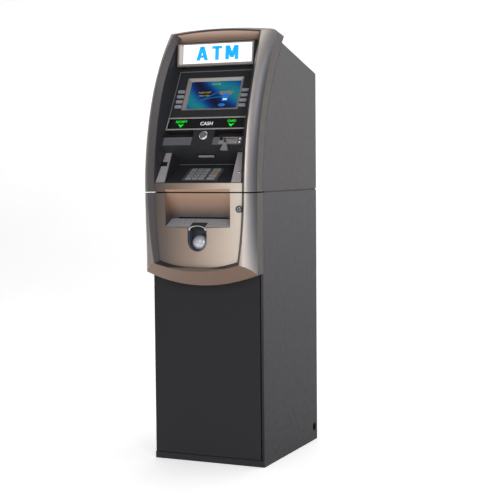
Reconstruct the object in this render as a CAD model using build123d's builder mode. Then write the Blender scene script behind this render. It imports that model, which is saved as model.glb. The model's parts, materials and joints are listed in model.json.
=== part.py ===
from build123d import *
from math import cos, radians, sin, sqrt, tan
import os

# A free-standing cash machine: a steel vault with an inset door, a sheet-metal upper housing, and a
# moulded fascia in two halves that bow over the front. All sizes are in millimetres, +Z is up, and
# the customer stands on the -Y side. The origin is on the floor under the middle of the machine.

os.makedirs("parts", exist_ok=True)

# ---- driving dimensions -------------------------------------------------------------------------
HALF_WIDTH = 200.0
CABINET_DEPTH = 481.0
RIDGE_PROUD = 85.0  # the fascia's crest stands this far in front of the cabinet
STRIP_PROUD = 45.0  # the fascia's side strip is this deep, then the bevel starts
BEVEL_BULGE = 5.0  # the bevel between strip and crest is rounded outwards by this much
FRONT = (RIDGE_PROUD - CABINET_DEPTH) / 2
REAR = FRONT + CABINET_DEPTH
PLINTH_TOP = 20.0
SEAM = 898.0  # the vault and lower fascia end here, the housing and upper fascia begin
SEAM_GAP = 4.0
TOP = 1440.0

# Above BEND_Z the fascia bows back about an axis along X, behind the machine's middle.
BEND_RADIUS = 777.0
BEND_Y = FRONT + BEND_RADIUS
BEND_Z = 900.0
ROOF_SLOPE = 0.187
FASCIA_SKIN = 3.0
FOOT_DEPTH = 66.0  # how far in front of the cabinet the fascia's inner wall ends
WALL_RUN = 15.5  # how far the inner wall leans in from the crest

VAULT_WALL = 8.0
SHEET = 2.0
DOOR_X = (-199.0, 187.0)
DOOR_FRONT = FRONT + 1
DOOR_THICK = 8.0
HINGE_X = -192.0
PIN_R = 2.5
PIN_FIT = 0.05
DOOR_AXIS = (-194.0, FRONT + 5)  # the vault door turns on pins in its own top and bottom edges

# The console: a shelf that rises to the back, an overhang, and one long leaning face.
SHELF_FRONT = (FRONT - 66, 929.0)
SHELF_BACK = (FRONT + 39, 988.0)
STEP_EDGE = (FRONT - 36, 1051.0)
FACE_TILT = 28.2
FACE_TOP_Z = 1312.0
FACE_TOP = (STEP_EDGE[0] + (FACE_TOP_Z - STEP_EDGE[1]) * tan(radians(FACE_TILT)), FACE_TOP_Z)
SIGN_TOP_Z = 1391.0
CHEEK_HALF = 118.0
CONSOLE_SKIN = 3.0

SCOOP_TOP = 915.0
SCOOP_HALF = 116.0
TRAY_FRONT_Z = 784.0
TRAY_BACK = (FRONT - 23.5, 811.0)
NOTCH_R = 34.0
NOTCH_Z = 742.0


def plane_along(origin_y, origin_z, up_y, up_z, x=0.0):
    """Plane across the machine whose own Y axis runs along (up_y, up_z) and whose normal faces out."""
    length = sqrt(up_y**2 + up_z**2)
    return Plane(origin=(x, origin_y, origin_z), x_dir=(1, 0, 0), z_dir=(0, -up_z / length, up_y / length))


FACE = plane_along(*STEP_EDGE, FACE_TOP[0] - STEP_EDGE[0], FACE_TOP[1] - STEP_EDGE[1])
SHELF = plane_along(*SHELF_FRONT, SHELF_BACK[0] - SHELF_FRONT[0], SHELF_BACK[1] - SHELF_FRONT[1])


def save(part, name):
    """Label a finished piece and write it under its own name."""
    part.label = name
    export_step(part, f"parts/{name}.step")


# ---- fascia shape -------------------------------------------------------------------------------
def ridge_half(z):
    """Half the distance between the two side crests: widest at the middle, drawn in at both ends."""
    middle = 1110.0
    reach = 444.0 if z < middle else 342.0
    return 174.0 - 22.0 * ((z - middle) / reach) ** 4


def arc_height(x, centre, chord, rise):
    """Height at x of a circular arc that is at centre at x = 0 and rises by rise at x = chord."""
    radius = (chord**2 + rise**2) / (2 * abs(rise))
    drop = radius - sqrt(radius**2 - x**2)
    return centre + (drop if rise > 0 else -drop)


def level_station(z):
    """Section plane across the upright part of the fascia; its own Y is the depth in front of FRONT."""
    return Plane(origin=(0, FRONT, z), x_dir=(1, 0, 0), z_dir=(0, 0, -1)), z


def bend_station(angle):
    """The same section plane, turned about the bend axis by angle degrees."""
    a = radians(angle)
    origin = (0, BEND_Y - BEND_RADIUS * cos(a), BEND_Z + BEND_RADIUS * sin(a))
    plane = Plane(origin=origin, x_dir=(1, 0, 0), z_dir=(0, -sin(a), -cos(a)))
    return plane, BEND_Z + (BEND_RADIUS + RIDGE_PROUD) * sin(a)


LOWER_STATIONS = [level_station(z) for z in (BEND_Z, 830, 760, 690, 620, 550)]
UPPER_STATIONS = [bend_station(angle) for angle in (0, 9, 18, 27, 36, 45)]


def station_loft(stations, outline):
    """Loft through the stations; outline(ridge half-width) gives the section's corners."""
    with BuildPart() as body:
        for plane, z in stations:
            with BuildSketch(plane):
                with BuildLine():
                    Polyline(*outline(ridge_half(z)), close=True)
                make_face()
        loft()
    return body.part


def outside_line(start, end, inset, reach=30.0, away=40.0):
    """Corners of the region outside the line start-end once the line has moved in by inset."""
    length = sqrt((end[0] - start[0]) ** 2 + (end[1] - start[1]) ** 2)
    along = ((end[0] - start[0]) / length, (end[1] - start[1]) / length)
    out = (-along[1], along[0])
    near = [
        (start[0] - out[0] * inset - along[0] * reach, start[1] - out[1] * inset - along[1] * reach),
        (end[0] - out[0] * inset + along[0] * reach, end[1] - out[1] * inset + along[1] * reach),
    ]
    far = [(p[0] + out[0] * (away + inset), p[1] + out[1] * (away + inset)) for p in reversed(near)]
    return near + far


def side_bevel(stations, inset, side):
    """The cutter that rounds one side of the fascia off, from its crest down to its side strip."""
    with BuildPart() as body:
        for plane, z in stations:
            half = ridge_half(z)
            near_crest, near_strip, far_strip, far_crest = outside_line(
                (half, RIDGE_PROUD), (HALF_WIDTH, STRIP_PROUD), inset)
            run = (HALF_WIDTH - half, STRIP_PROUD - RIDGE_PROUD)
            length = sqrt(run[0] ** 2 + run[1] ** 2)
            out = (-run[1] / length, run[0] / length)
            crest = (half - out[0] * inset, RIDGE_PROUD - out[1] * inset)
            strip = (crest[0] + run[0], crest[1] + run[1])
            middle = ((crest[0] + strip[0]) / 2 + out[0] * BEVEL_BULGE,
                      (crest[1] + strip[1]) / 2 + out[1] * BEVEL_BULGE)
            near_crest, crest, middle, strip, near_strip, far_strip, far_crest = [
                (side * x, depth)
                for x, depth in (near_crest, crest, middle, strip, near_strip, far_strip, far_crest)]
            with BuildSketch(plane):
                with BuildLine():
                    Line(near_crest, crest)
                    ThreePointArc(crest, middle, strip)
                    Polyline(strip, near_strip, far_strip, far_crest, near_crest)
                make_face()
        loft()
    return body.part


def cross_bevel(outer, crest, inset, lower):
    """The cutter that slopes the fascia's top or bottom edge; outer and crest give (y, z) at x."""
    with BuildPart() as body:
        for x in (-220, -120, 0, 120, 220):
            with BuildSketch(Plane(origin=(x, 0, 0), x_dir=(0, 1, 0), z_dir=(1, 0, 0))):
                ends = (outer(x), crest(x)) if lower else (crest(x), outer(x))
                with BuildLine():
                    Polyline(*outside_line(*ends, inset), close=True)
                make_face()
        loft()
    return body.part


TOP_CHORD = 186.0
TOP_RISE = -10.0
ROOF_FRONT_Y = FRONT + 123.6
CREST_TOP_Y = FRONT + 84.0
SOFFIT_EDGE = (FRONT + 98.0, 1431.0)  # the soffit starts right under the top crest


def bottom_outer(x):
    return (FRONT - STRIP_PROUD, arc_height(x, 595, HALF_WIDTH, 40))


def bottom_crest(x):
    return (FRONT - RIDGE_PROUD, arc_height(x, 643, 152, 23))


def top_outer(x):
    return (ROOF_FRONT_Y, arc_height(x, TOP, TOP_CHORD, TOP_RISE))


def top_crest(x):
    return (CREST_TOP_Y, arc_height(x, 1431, 160, -10))


def bowed_slab(front_depth, rear_depth, half, z_low, z_high_angle):
    """Solid between two depths: upright below BEND_Z, bowed about the bend axis above it."""
    front_r = BEND_RADIUS + front_depth
    rear_r = BEND_RADIUS + rear_depth
    a = radians(z_high_angle)

    def on(radius, angle):
        return (BEND_Y - radius * cos(angle), BEND_Z + radius * sin(angle))

    with BuildPart() as body:
        with BuildSketch(Plane.YZ.offset(-half)):
            with BuildLine():
                Polyline((BEND_Y - rear_r, BEND_Z), (BEND_Y - rear_r, z_low), (BEND_Y - front_r, z_low),
                         (BEND_Y - front_r, BEND_Z))
                ThreePointArc(on(front_r, 0), on(front_r, a / 2), on(front_r, a))
                Line(on(front_r, a), on(rear_r, a))
                ThreePointArc(on(rear_r, a), on(rear_r, a / 2), on(rear_r, 0))
            make_face()
        extrude(amount=2 * half)
    return body.part


def above_arc(centre, chord, rise, slope=0.0, half=260.0):
    """Everything above an arc across the fascia's crest that climbs by slope towards the back."""
    start_y = FRONT - RIDGE_PROUD - 20
    length = REAR - start_y
    with BuildPart() as body:
        with BuildSketch(Plane(origin=(0, start_y, -slope * 20), x_dir=(1, 0, 0), z_dir=(0, -1, 0))):
            with BuildLine():
                edge = arc_height(half, centre, chord, rise)
                ThreePointArc((-half, edge), (0, centre), (half, edge))
                Polyline((half, edge), (half, TOP + 100), (-half, TOP + 100), (-half, edge))
            make_face()
        extrude(amount=length * sqrt(1 + slope**2), dir=(0, 1, slope))
    return body.part


def below_arc(point_y, centre, chord, rise, slope, half, corner=0.0):
    """Everything below an arc that is at height centre at point_y and falls by slope towards the back."""
    start_y = FRONT - 120
    length = REAR - start_y
    with BuildPart() as body:
        with BuildSketch(Plane(origin=(0, start_y, slope * (point_y - start_y)), x_dir=(1, 0, 0),
                               z_dir=(0, -1, 0))):
            with BuildLine():
                edge = arc_height(half, centre, chord, rise)
                ThreePointArc((-half, edge), (0, centre), (half, edge))
                Polyline((half, edge), (half, 500), (-half, 500), (-half, edge))
            make_face()
            if corner:
                fillet(vertices().sort_by(Axis.Y)[-2:], radius=corner)
        extrude(amount=length * sqrt(1 + slope**2), dir=(0, 1, -slope))
    return body.part


def shaped(base, keep=(), cut=()):
    """The base solid, kept only inside the keep solids and without the cut solids."""
    with BuildPart() as body:
        add(base)
        for tool in keep:
            add(tool, mode=Mode.INTERSECT)
        for tool in cut:
            add(tool, mode=Mode.SUBTRACT)
    return body.part


def fascia_block(stations, inset, z_low, top_angle):
    """The solid inside the fascia's outer surfaces, moved in by inset; its rear stays open-ended."""
    slab = bowed_slab(RIDGE_PROUD - inset, 0.0 if inset == 0 else -6.0, HALF_WIDTH - inset, z_low, top_angle)
    keep = [
        above_arc(595 + inset, HALF_WIDTH, 40),
        below_arc(ROOF_FRONT_Y, TOP - inset, TOP_CHORD, TOP_RISE, ROOF_SLOPE, HALF_WIDTH - inset, corner=12),
    ]
    cut = [side_bevel(stations, inset, side) for side in (-1, 1)]
    cut.append(cross_bevel(bottom_outer, bottom_crest, inset, lower=True))
    cut.append(cross_bevel(top_outer, top_crest, inset, lower=False))
    return shaped(slab, keep, cut)


def fascia_opening(stations, grow, depth_low):
    """The space inside the fascia's sloped inner walls, grown by grow, from depth_low outwards."""

    def outline(half):
        mouth = half - 1 + grow
        foot = half - WALL_RUN + grow
        right = [(mouth, RIDGE_PROUD + 12), (mouth, RIDGE_PROUD), (foot, FOOT_DEPTH), (foot, depth_low)]
        return right + [(-x, depth) for x, depth in reversed(right)]

    sill = above_arc(645 - grow, 152, 23, slope=12 / (RIDGE_PROUD - FOOT_DEPTH))
    soffit = below_arc(SOFFIT_EDGE[0], SOFFIT_EDGE[1] + grow, 160, -10, 0.85, 250)
    return shaped(station_loft(stations, outline), keep=[sill, soffit])


def fascia_frame(stations, z_low, top_angle):
    """The hollow moulding: skins 3 mm thick round an opening with sloped inner walls."""
    outside = fascia_block(stations, 0, z_low, top_angle)
    inside = fascia_block(stations, FASCIA_SKIN, z_low - 10, top_angle + 1)
    wall = fascia_opening(stations, FASCIA_SKIN, FOOT_DEPTH - 6)
    hollow = shaped(inside, cut=[wall])
    return shaped(outside, cut=[fascia_opening(stations, 0, -60), hollow])


def below(z):
    """Everything below height z."""
    with BuildPart() as body:
        with BuildSketch(Plane.XY.offset(z)):
            Rectangle(700, 1400)
        extrude(amount=-2000)
    return body.part


def above(z):
    """Everything above height z."""
    with BuildPart() as body:
        with BuildSketch(Plane.XY.offset(z)):
            Rectangle(700, 1400)
        extrude(amount=2000)
    return body.part


def block(x, y, z):
    """A plain box between pairs of coordinates."""
    with BuildPart() as body:
        with BuildSketch(Plane.XY.offset(z[0])):
            with Locations(((x[0] + x[1]) / 2, (y[0] + y[1]) / 2)):
                Rectangle(x[1] - x[0], y[1] - y[0])
        extrude(amount=z[1] - z[0])
    return body.part


def across(points, x_low, x_high):
    """A (y, z) outline pushed across the machine from x_low to x_high."""
    with BuildPart() as body:
        with BuildSketch(Plane.YZ.offset(x_low)):
            with BuildLine():
                Polyline(*points, close=True)
            make_face()
        extrude(amount=x_high - x_low)
    return body.part


def rod(plane, radius, length):
    """A round bar from a plane along its normal."""
    with BuildPart() as body:
        with BuildSketch(plane):
            Circle(radius)
        extrude(amount=length)
    return body.part


def pad(plane, x, v, low, high, corner=0.0):
    """A rectangular block on a plane between two heights over it, with rounded upright corners."""
    with BuildPart() as body:
        with BuildSketch(plane.offset(low)):
            with Locations(((x[0] + x[1]) / 2, (v[0] + v[1]) / 2)):
                if corner:
                    RectangleRounded(x[1] - x[0], v[1] - v[0], corner)
                else:
                    Rectangle(x[1] - x[0], v[1] - v[0])
        extrude(amount=high - low)
    return body.part


# ---- hinges -------------------------------------------------------------------------------------
TAB_R = 4.4
TAB_THICK = 4.0
LOWER_LUGS = (640.0, 860.0)
UPPER_LUGS = (SEAM + 6, 1010.0)
LOWER_AXIS_Y = FRONT - 18  # forward of the door's own axis, so that both can stand fully open


def hinge_tab(z, axis_y, x_reach, y_reach):
    """A flat lug from an upright axis at (HINGE_X, axis_y) to (x_reach, y_reach), its underside at z."""
    run = (x_reach - HINGE_X, y_reach - axis_y)
    length = sqrt(run[0] ** 2 + run[1] ** 2)
    out = (-run[1] / length * TAB_R, run[0] / length * TAB_R)
    with BuildPart() as body:
        with BuildSketch(Plane.XY.offset(z)):
            with Locations((HINGE_X, axis_y)):
                Circle(TAB_R)
            with BuildLine():
                Polyline((HINGE_X + out[0], axis_y + out[1]), (HINGE_X - out[0], axis_y - out[1]),
                         (x_reach - out[0], y_reach - out[1]), (x_reach + out[0], y_reach + out[1]),
                         close=True)
            make_face()
        extrude(amount=TAB_THICK)
    return body.part


def hinge_pin(z_low, z_high, radius=PIN_R, axis_y=FRONT):
    """An upright pin, or with a wider radius the bore for one."""
    return rod(Plane(origin=(HINGE_X, axis_y, z_low)), radius, z_high - z_low)


# ---- cabinet ------------------------------------------------------------------------------------
GROMMET_Y = REAR - 28
GROMMET_Z = 48.0
GROMMET_R = 18.0
ANCHOR_X = 240.0
ANCHOR_Y = 300.0
ANCHOR_R = 8.0
VAULT_TOP = SEAM - SEAM_GAP / 2
SILL_TOP = PLINTH_TOP + 2
LIP_IN = 3.0  # the lip in the seam stands this far inside the cabinet's faces
STRIKE_INNER = 176.0

with BuildPart() as plinth:
    with BuildSketch():
        with Locations((0, (FRONT + REAR) / 2)):
            Rectangle(2 * HALF_WIDTH, CABINET_DEPTH)
            Rectangle(2 * HALF_WIDTH - 40, CABINET_DEPTH - 40, mode=Mode.SUBTRACT)
    extrude(amount=PLINTH_TOP)
save(plinth.part, "base_plinth")

door_swing = block((-HALF_WIDTH - 1, HINGE_X + 1), (FRONT - 1, FRONT + 14), (SILL_TOP, VAULT_TOP + 1))
with BuildPart() as vault:
    with BuildSketch(Plane.XY.offset(PLINTH_TOP)):
        with Locations((0, (FRONT + REAR) / 2)):
            Rectangle(2 * HALF_WIDTH, CABINET_DEPTH)
    extrude(amount=VAULT_TOP - PLINTH_TOP)
    add(block((-HALF_WIDTH + VAULT_WALL, HALF_WIDTH - VAULT_WALL), (FRONT + 14, REAR - VAULT_WALL),
              (PLINTH_TOP + VAULT_WALL, VAULT_TOP - 6)), mode=Mode.SUBTRACT)
    add(block((-HALF_WIDTH + VAULT_WALL, HALF_WIDTH - VAULT_WALL), (FRONT - 1, FRONT + 14),
              (SILL_TOP, VAULT_TOP + 1)), mode=Mode.SUBTRACT)
    add(block((-120, 120), (REAR - 180, REAR - 60), (VAULT_TOP - 10, VAULT_TOP + 1)), mode=Mode.SUBTRACT)
    add(door_swing, mode=Mode.SUBTRACT)
    with Locations(Plane(origin=(0, (FRONT + REAR) / 2, PLINTH_TOP))):
        with GridLocations(ANCHOR_X, ANCHOR_Y, 2, 2):
            Cylinder(ANCHOR_R, 3 * VAULT_WALL, mode=Mode.SUBTRACT)
    with Locations(Plane(origin=(HALF_WIDTH, GROMMET_Y, GROMMET_Z), z_dir=(1, 0, 0))):
        Cylinder(GROMMET_R, 3 * VAULT_WALL, mode=Mode.SUBTRACT)
    with BuildSketch(Plane.XY.offset(VAULT_TOP)):
        with Locations((0, (FRONT + 16 + REAR - LIP_IN) / 2)):
            Rectangle(2 * (HALF_WIDTH - LIP_IN), CABINET_DEPTH - 16 - LIP_IN)
            Rectangle(2 * (HALF_WIDTH - LIP_IN - 5), CABINET_DEPTH - 26 - LIP_IN, mode=Mode.SUBTRACT)
    extrude(amount=SEAM_GAP - 0.4)
save(vault.part, "vault_shell")

with BuildPart() as grommet:
    with BuildSketch(Plane(origin=(HALF_WIDTH - VAULT_WALL - 2, GROMMET_Y, GROMMET_Z), z_dir=(1, 0, 0))):
        Circle(GROMMET_R + 1.4)
    extrude(amount=2)
    with BuildSketch(Plane(origin=(HALF_WIDTH - VAULT_WALL, GROMMET_Y, GROMMET_Z), z_dir=(1, 0, 0))):
        Circle(GROMMET_R)
    extrude(amount=VAULT_WALL)
    with BuildSketch(Plane(origin=(HALF_WIDTH - VAULT_WALL - 2, GROMMET_Y, GROMMET_Z), z_dir=(1, 0, 0))):
        Circle(GROMMET_R - 4)
    extrude(amount=VAULT_WALL + 2, mode=Mode.SUBTRACT)
save(grommet.part, "cable_grommet")

HOUSING_FRONT_R = BEND_RADIUS - 2.0
HOUSING_BASE = SEAM + SEAM_GAP / 2
HOUSING_REAR_Z = 1304.0
ROOF_ANGLE = radians(38.9)
ROOF_FRONT = (BEND_Y - HOUSING_FRONT_R * cos(ROOF_ANGLE), BEND_Z + HOUSING_FRONT_R * sin(ROOF_ANGLE))
ROOF_FALL = (ROOF_FRONT[1] - HOUSING_REAR_Z) / (REAR - ROOF_FRONT[0])


def housing_outside():
    """The upper housing's outer form: bowed front edge, sloping roof, upright back."""
    middle = (BEND_Y - HOUSING_FRONT_R * cos(ROOF_ANGLE / 2), BEND_Z + HOUSING_FRONT_R * sin(ROOF_ANGLE / 2))
    with BuildPart() as body:
        with BuildSketch(Plane.YZ.offset(-HALF_WIDTH)):
            with BuildLine():
                Polyline(ROOF_FRONT, (REAR, HOUSING_REAR_Z), (REAR, HOUSING_BASE), (FRONT + 2, HOUSING_BASE))
                ThreePointArc((FRONT + 2, HOUSING_BASE), middle, ROOF_FRONT)
            make_face()
        extrude(amount=2 * HALF_WIDTH)
    return body.part


def housing_inside():
    """The space inside the sheet metal, open to the front and below."""
    reach = 260.0
    roof = ROOF_FRONT[1] - SHEET
    return across([(ROOF_FRONT[0] - reach, roof + reach * ROOF_FALL), (REAR - SHEET, HOUSING_REAR_Z - SHEET),
                   (REAR - SHEET, HOUSING_BASE - 5), (ROOF_FRONT[0] - reach, HOUSING_BASE - 5)],
                  -HALF_WIDTH + SHEET, HALF_WIDTH - SHEET)


PANEL_HALF = 150.0
PANEL_Z = (930.0, 1270.0)
housing_relief = bowed_slab(5, -9, 400, 800, 44)
left_zone = block((-HALF_WIDTH - 1, HINGE_X + 1), (FRONT - 90, REAR), (880, 1500))
left_edge = shaped(housing_relief, keep=[left_zone])
with BuildPart() as housing:
    add(housing_outside())
    add(housing_inside(), mode=Mode.SUBTRACT)
    add(left_edge, mode=Mode.SUBTRACT)
    add(block((-PANEL_HALF, PANEL_HALF), (REAR - 5, REAR + 5), PANEL_Z), mode=Mode.SUBTRACT)
    for z in (PANEL_Z[0] - 12, PANEL_Z[1]):
        add(block((-PANEL_HALF - 12, PANEL_HALF + 12), (REAR - 6, REAR - SHEET), (z, z + 12)))
save(housing.part, "upper_housing")

SCREW_X = 132.0
with BuildPart() as rear_panel:
    with BuildSketch(Plane.XZ.offset(-REAR)):
        with Locations((0, sum(PANEL_Z) / 2)):
            Rectangle(2 * PANEL_HALF - 2, PANEL_Z[1] - PANEL_Z[0] - 2)
    extrude(amount=SHEET)
    with BuildSketch(Plane.XZ.offset(-REAR)):
        for z in (1150, 1190):
            with Locations((0, z)):
                with GridLocations(0, 12, 1, 3):
                    SlotOverall(150, 5)
    extrude(amount=SHEET, mode=Mode.SUBTRACT)
    with BuildSketch(Plane.XZ.offset(-REAR)):
        with Locations((0, sum(PANEL_Z) / 2)):
            with GridLocations(2 * SCREW_X, PANEL_Z[1] - PANEL_Z[0] - 20, 2, 2):
                Circle(2.2)
    extrude(amount=SHEET, mode=Mode.SUBTRACT)
save(rear_panel.part, "rear_service_panel")

with BuildPart() as screws:
    with BuildSketch(Plane.XZ.offset(-REAR)):
        with Locations((0, sum(PANEL_Z) / 2)):
            with GridLocations(2 * SCREW_X, PANEL_Z[1] - PANEL_Z[0] - 20, 2, 2):
                Circle(2.0)
    extrude(amount=SHEET)
save(screws.part, "rear_panel_screws")

# Steel fittings: the strike the door's bolts go behind, the pins that carry the vault door, and the lugs
# with upright pins that carry the upper fascia.
with BuildPart() as fittings:
    add(block((STRIKE_INNER, HALF_WIDTH - VAULT_WALL), (FRONT + 14, FRONT + 18), (40, VAULT_TOP - 6)))
    add(rod(Plane(origin=(*DOOR_AXIS, SILL_TOP)), PIN_R, 9))
    add(block((-196.5, -184), (FRONT + 0.5, FRONT + 14), (VAULT_TOP - 3.5, VAULT_TOP)))
    add(rod(Plane(origin=(*DOOR_AXIS, VAULT_TOP - 13)), PIN_R, 10))
    for z in UPPER_LUGS:
        add(rod(Plane(origin=(HINGE_X, FRONT, z)), TAB_R, TAB_THICK))
        add(block((HINGE_X + 0.4, HINGE_X + 4), (FRONT, FRONT + 60), (z, z + TAB_THICK)))
        add(block((-HALF_WIDTH + SHEET, HINGE_X + 4), (FRONT + 24, FRONT + 60), (z, z + 10)))
        add(hinge_pin(z, z + 11))
save(fittings.part, "cabinet_fittings")

# ---- inside the vault ---------------------------------------------------------------------------
CHASSIS_HALF = 118.0
CHASSIS_FRONT = FRONT + 60
CASSETTE_Z = (470.0, 610.0)
NOTE_PATH_Z = 813.0
with BuildPart() as chassis:
    for side in (-1, 1):
        add(block(sorted((side * CHASSIS_HALF, side * (CHASSIS_HALF - 3))),
                  (CHASSIS_FRONT, CHASSIS_FRONT + 330), (PLINTH_TOP + VAULT_WALL, 860)))
    for z in (CASSETTE_Z[0] - 6, CASSETTE_Z[1] + 6, 857):
        add(block((-CHASSIS_HALF, CHASSIS_HALF), (CHASSIS_FRONT, CHASSIS_FRONT + 330), (z, z + 3)))
    for z in (NOTE_PATH_Z - 9, NOTE_PATH_Z + 5):
        add(block((-90, 90), (FRONT + 14, CHASSIS_FRONT + 200), (z, z + 3)))
        for side in (-1, 1):
            add(block(sorted((side * 90, side * CHASSIS_HALF)), (CHASSIS_FRONT, CHASSIS_FRONT + 200),
                      (z, z + 3)))
    with Locations(Plane(origin=(0, CHASSIS_FRONT + 90, 720), z_dir=(1, 0, 0))):
        Cylinder(4.05, 3 * CHASSIS_HALF, mode=Mode.SUBTRACT)
save(chassis.part, "dispenser_frame")

with BuildPart() as cassette:
    add(block((-105, 105), (CHASSIS_FRONT + 5, CHASSIS_FRONT + 320), (CASSETTE_Z[0], CASSETTE_Z[1])))
    add(block((-95, 95), (CHASSIS_FRONT + 30, CHASSIS_FRONT + 300), (CASSETTE_Z[0] + 20, CASSETTE_Z[1] + 1)),
        mode=Mode.SUBTRACT)
    for x in (-50, 44):
        add(block((x, x + 6), (CHASSIS_FRONT - 25, CHASSIS_FRONT + 5), (560, 570)))
    add(block((-50, 50), (CHASSIS_FRONT - 31, CHASSIS_FRONT - 25), (560, 570)))
save(cassette.part, "cash_cassette")

with BuildPart() as picker:
    with BuildSketch(Plane.YZ.offset(-CHASSIS_HALF - 6)):
        with Locations((CHASSIS_FRONT + 90, 720)):
            Circle(4.0)
    extrude(amount=2 * CHASSIS_HALF + 12)
    for x in (-62, -8, 46):
        with BuildSketch(Plane.YZ.offset(x)):
            with Locations((CHASSIS_FRONT + 90, 720)):
                Circle(18)
        extrude(amount=16)
save(picker.part, "pick_roller")

# ---- inside the housing -------------------------------------------------------------------------
with BuildPart() as electronics:
    add(block((-120, 150), (REAR - 170, REAR - 40), (VAULT_TOP, 1090)))
    add(block((-117, 147), (REAR - 167, REAR - 43), (VAULT_TOP + 3, 1087)), mode=Mode.SUBTRACT)
    with BuildSketch(Plane.XZ.offset(-(REAR - 170))):
        with Locations((15, 1000)):
            with GridLocations(0, 14, 1, 6):
                SlotOverall(180, 6)
    extrude(amount=-4, mode=Mode.SUBTRACT)
save(electronics.part, "electronics_box")

with BuildPart() as supply:
    add(block((-120, 20), (REAR - 150, REAR - 50), (1092, 1150)))
    with BuildSketch(Plane.XY.offset(1150)):
        with Locations((-50, REAR - 100)):
            Circle(32)
    extrude(amount=-3, mode=Mode.SUBTRACT)
save(supply.part, "power_supply")

# ---- vault door ---------------------------------------------------------------------------------
DOOR_Z = (PLINTH_TOP + 3, VAULT_TOP - 5)
LOCK_X = 95.0
LOCK_Z = 690.0
HANDLE_X = 0.0
HANDLE_Z = 690.0
CRANK_R = 14.0
with BuildPart() as door:
    add(block(DOOR_X, (DOOR_FRONT, DOOR_FRONT + DOOR_THICK), DOOR_Z))
    fillet(door.edges().filter_by(Axis.Z).sort_by(Axis.Y)[:2], radius=1.5)
    add(block((-100, 100), (FRONT - 1, FRONT + 20), (NOTE_PATH_Z - 16, NOTE_PATH_Z + 16)), mode=Mode.SUBTRACT)
    for x, radius in ((LOCK_X, 5.0), (HANDLE_X, 6.05)):
        with Locations(Plane(origin=(x, FRONT, LOCK_Z), z_dir=(0, 1, 0))):
            Cylinder(radius, 60, mode=Mode.SUBTRACT)
    for z in (DOOR_Z[0] - 1, DOOR_Z[1] - 9):
        add(rod(Plane(origin=(*DOOR_AXIS, z)), PIN_R + PIN_FIT, 10), mode=Mode.SUBTRACT)
    for z in LOWER_LUGS:
        add(hinge_tab(z, LOWER_AXIS_Y, HINGE_X + 22, FRONT + 5))
        add(hinge_pin(z, z + 11, axis_y=LOWER_AXIS_Y))
    for z in (LOCK_Z - 27, LOCK_Z + 21):
        add(block((24, 62), (DOOR_FRONT + DOOR_THICK, DOOR_FRONT + DOOR_THICK + 16), (z, z + 6)))
    add(block((176, 180), (FRONT - 52, FRONT + 3), (838, 852)))
    add(block((160, 180), (FRONT - 52, FRONT - 48), (838, 852)))
save(door.part, "vault_door_panel")

with BuildPart() as lock_case:
    add(block((LOCK_X - 30, LOCK_X + 30), (DOOR_FRONT + DOOR_THICK + 17, DOOR_FRONT + DOOR_THICK + 41),
              (LOCK_Z - 42, LOCK_Z + 42)))
    for z in (LOCK_Z - 42, LOCK_Z + 34):
        add(block((LOCK_X - 30, LOCK_X + 30), (DOOR_FRONT + DOOR_THICK, DOOR_FRONT + DOOR_THICK + 17),
                  (z, z + 8)))
    with Locations(Plane(origin=(LOCK_X, FRONT, LOCK_Z), z_dir=(0, 1, 0))):
        Cylinder(5.0, 200, mode=Mode.SUBTRACT)
save(lock_case.part, "combination_lock")

with BuildPart() as dial:
    with BuildSketch(Plane(origin=(LOCK_X, DOOR_FRONT - 1, LOCK_Z), z_dir=(0, -1, 0))):
        Circle(34)
    extrude(amount=6)
    with BuildSketch(Plane(origin=(LOCK_X, DOOR_FRONT - 7, LOCK_Z), z_dir=(0, -1, 0))):
        RegularPolygon(20, 16)
    extrude(amount=18)
    with BuildSketch(Plane(origin=(LOCK_X, DOOR_FRONT - 1, LOCK_Z), z_dir=(0, 1, 0))):
        Circle(4.0)
    extrude(amount=40)
save(dial.part, "lock_dial")

CRANK_START = radians(-45)
BAR_Y = DOOR_FRONT + DOOR_THICK + 6
crank_x = HANDLE_X + CRANK_R * sin(CRANK_START)
crank_z = HANDLE_Z - CRANK_R * cos(CRANK_START)
with BuildPart() as handle:
    with BuildSketch(Plane(origin=(HANDLE_X, DOOR_FRONT - 1, HANDLE_Z), x_dir=(1, 0, 0), z_dir=(0, -1, 0))):
        Circle(16)
    extrude(amount=8)
    with BuildSketch(Plane(origin=(HANDLE_X, DOOR_FRONT - 9, HANDLE_Z), x_dir=(1, 0, 0), z_dir=(0, -1, 0))):
        with Locations((-31, 0)):
            SlotOverall(80, 18)
    extrude(amount=13)
    with BuildSketch(Plane(origin=(HANDLE_X, DOOR_FRONT - 1, HANDLE_Z), z_dir=(0, 1, 0))):
        Circle(6.0)
    extrude(amount=DOOR_THICK + 2)
    with BuildSketch(Plane(origin=(HANDLE_X, DOOR_FRONT + DOOR_THICK + 1, HANDLE_Z), z_dir=(0, 1, 0))):
        Circle(18.5)
    extrude(amount=4)
    with BuildSketch(Plane(origin=(crank_x, DOOR_FRONT + DOOR_THICK + 4, crank_z), z_dir=(0, 1, 0))):
        Circle(3)
    extrude(amount=8)
save(handle.part, "vault_handle")

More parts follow.
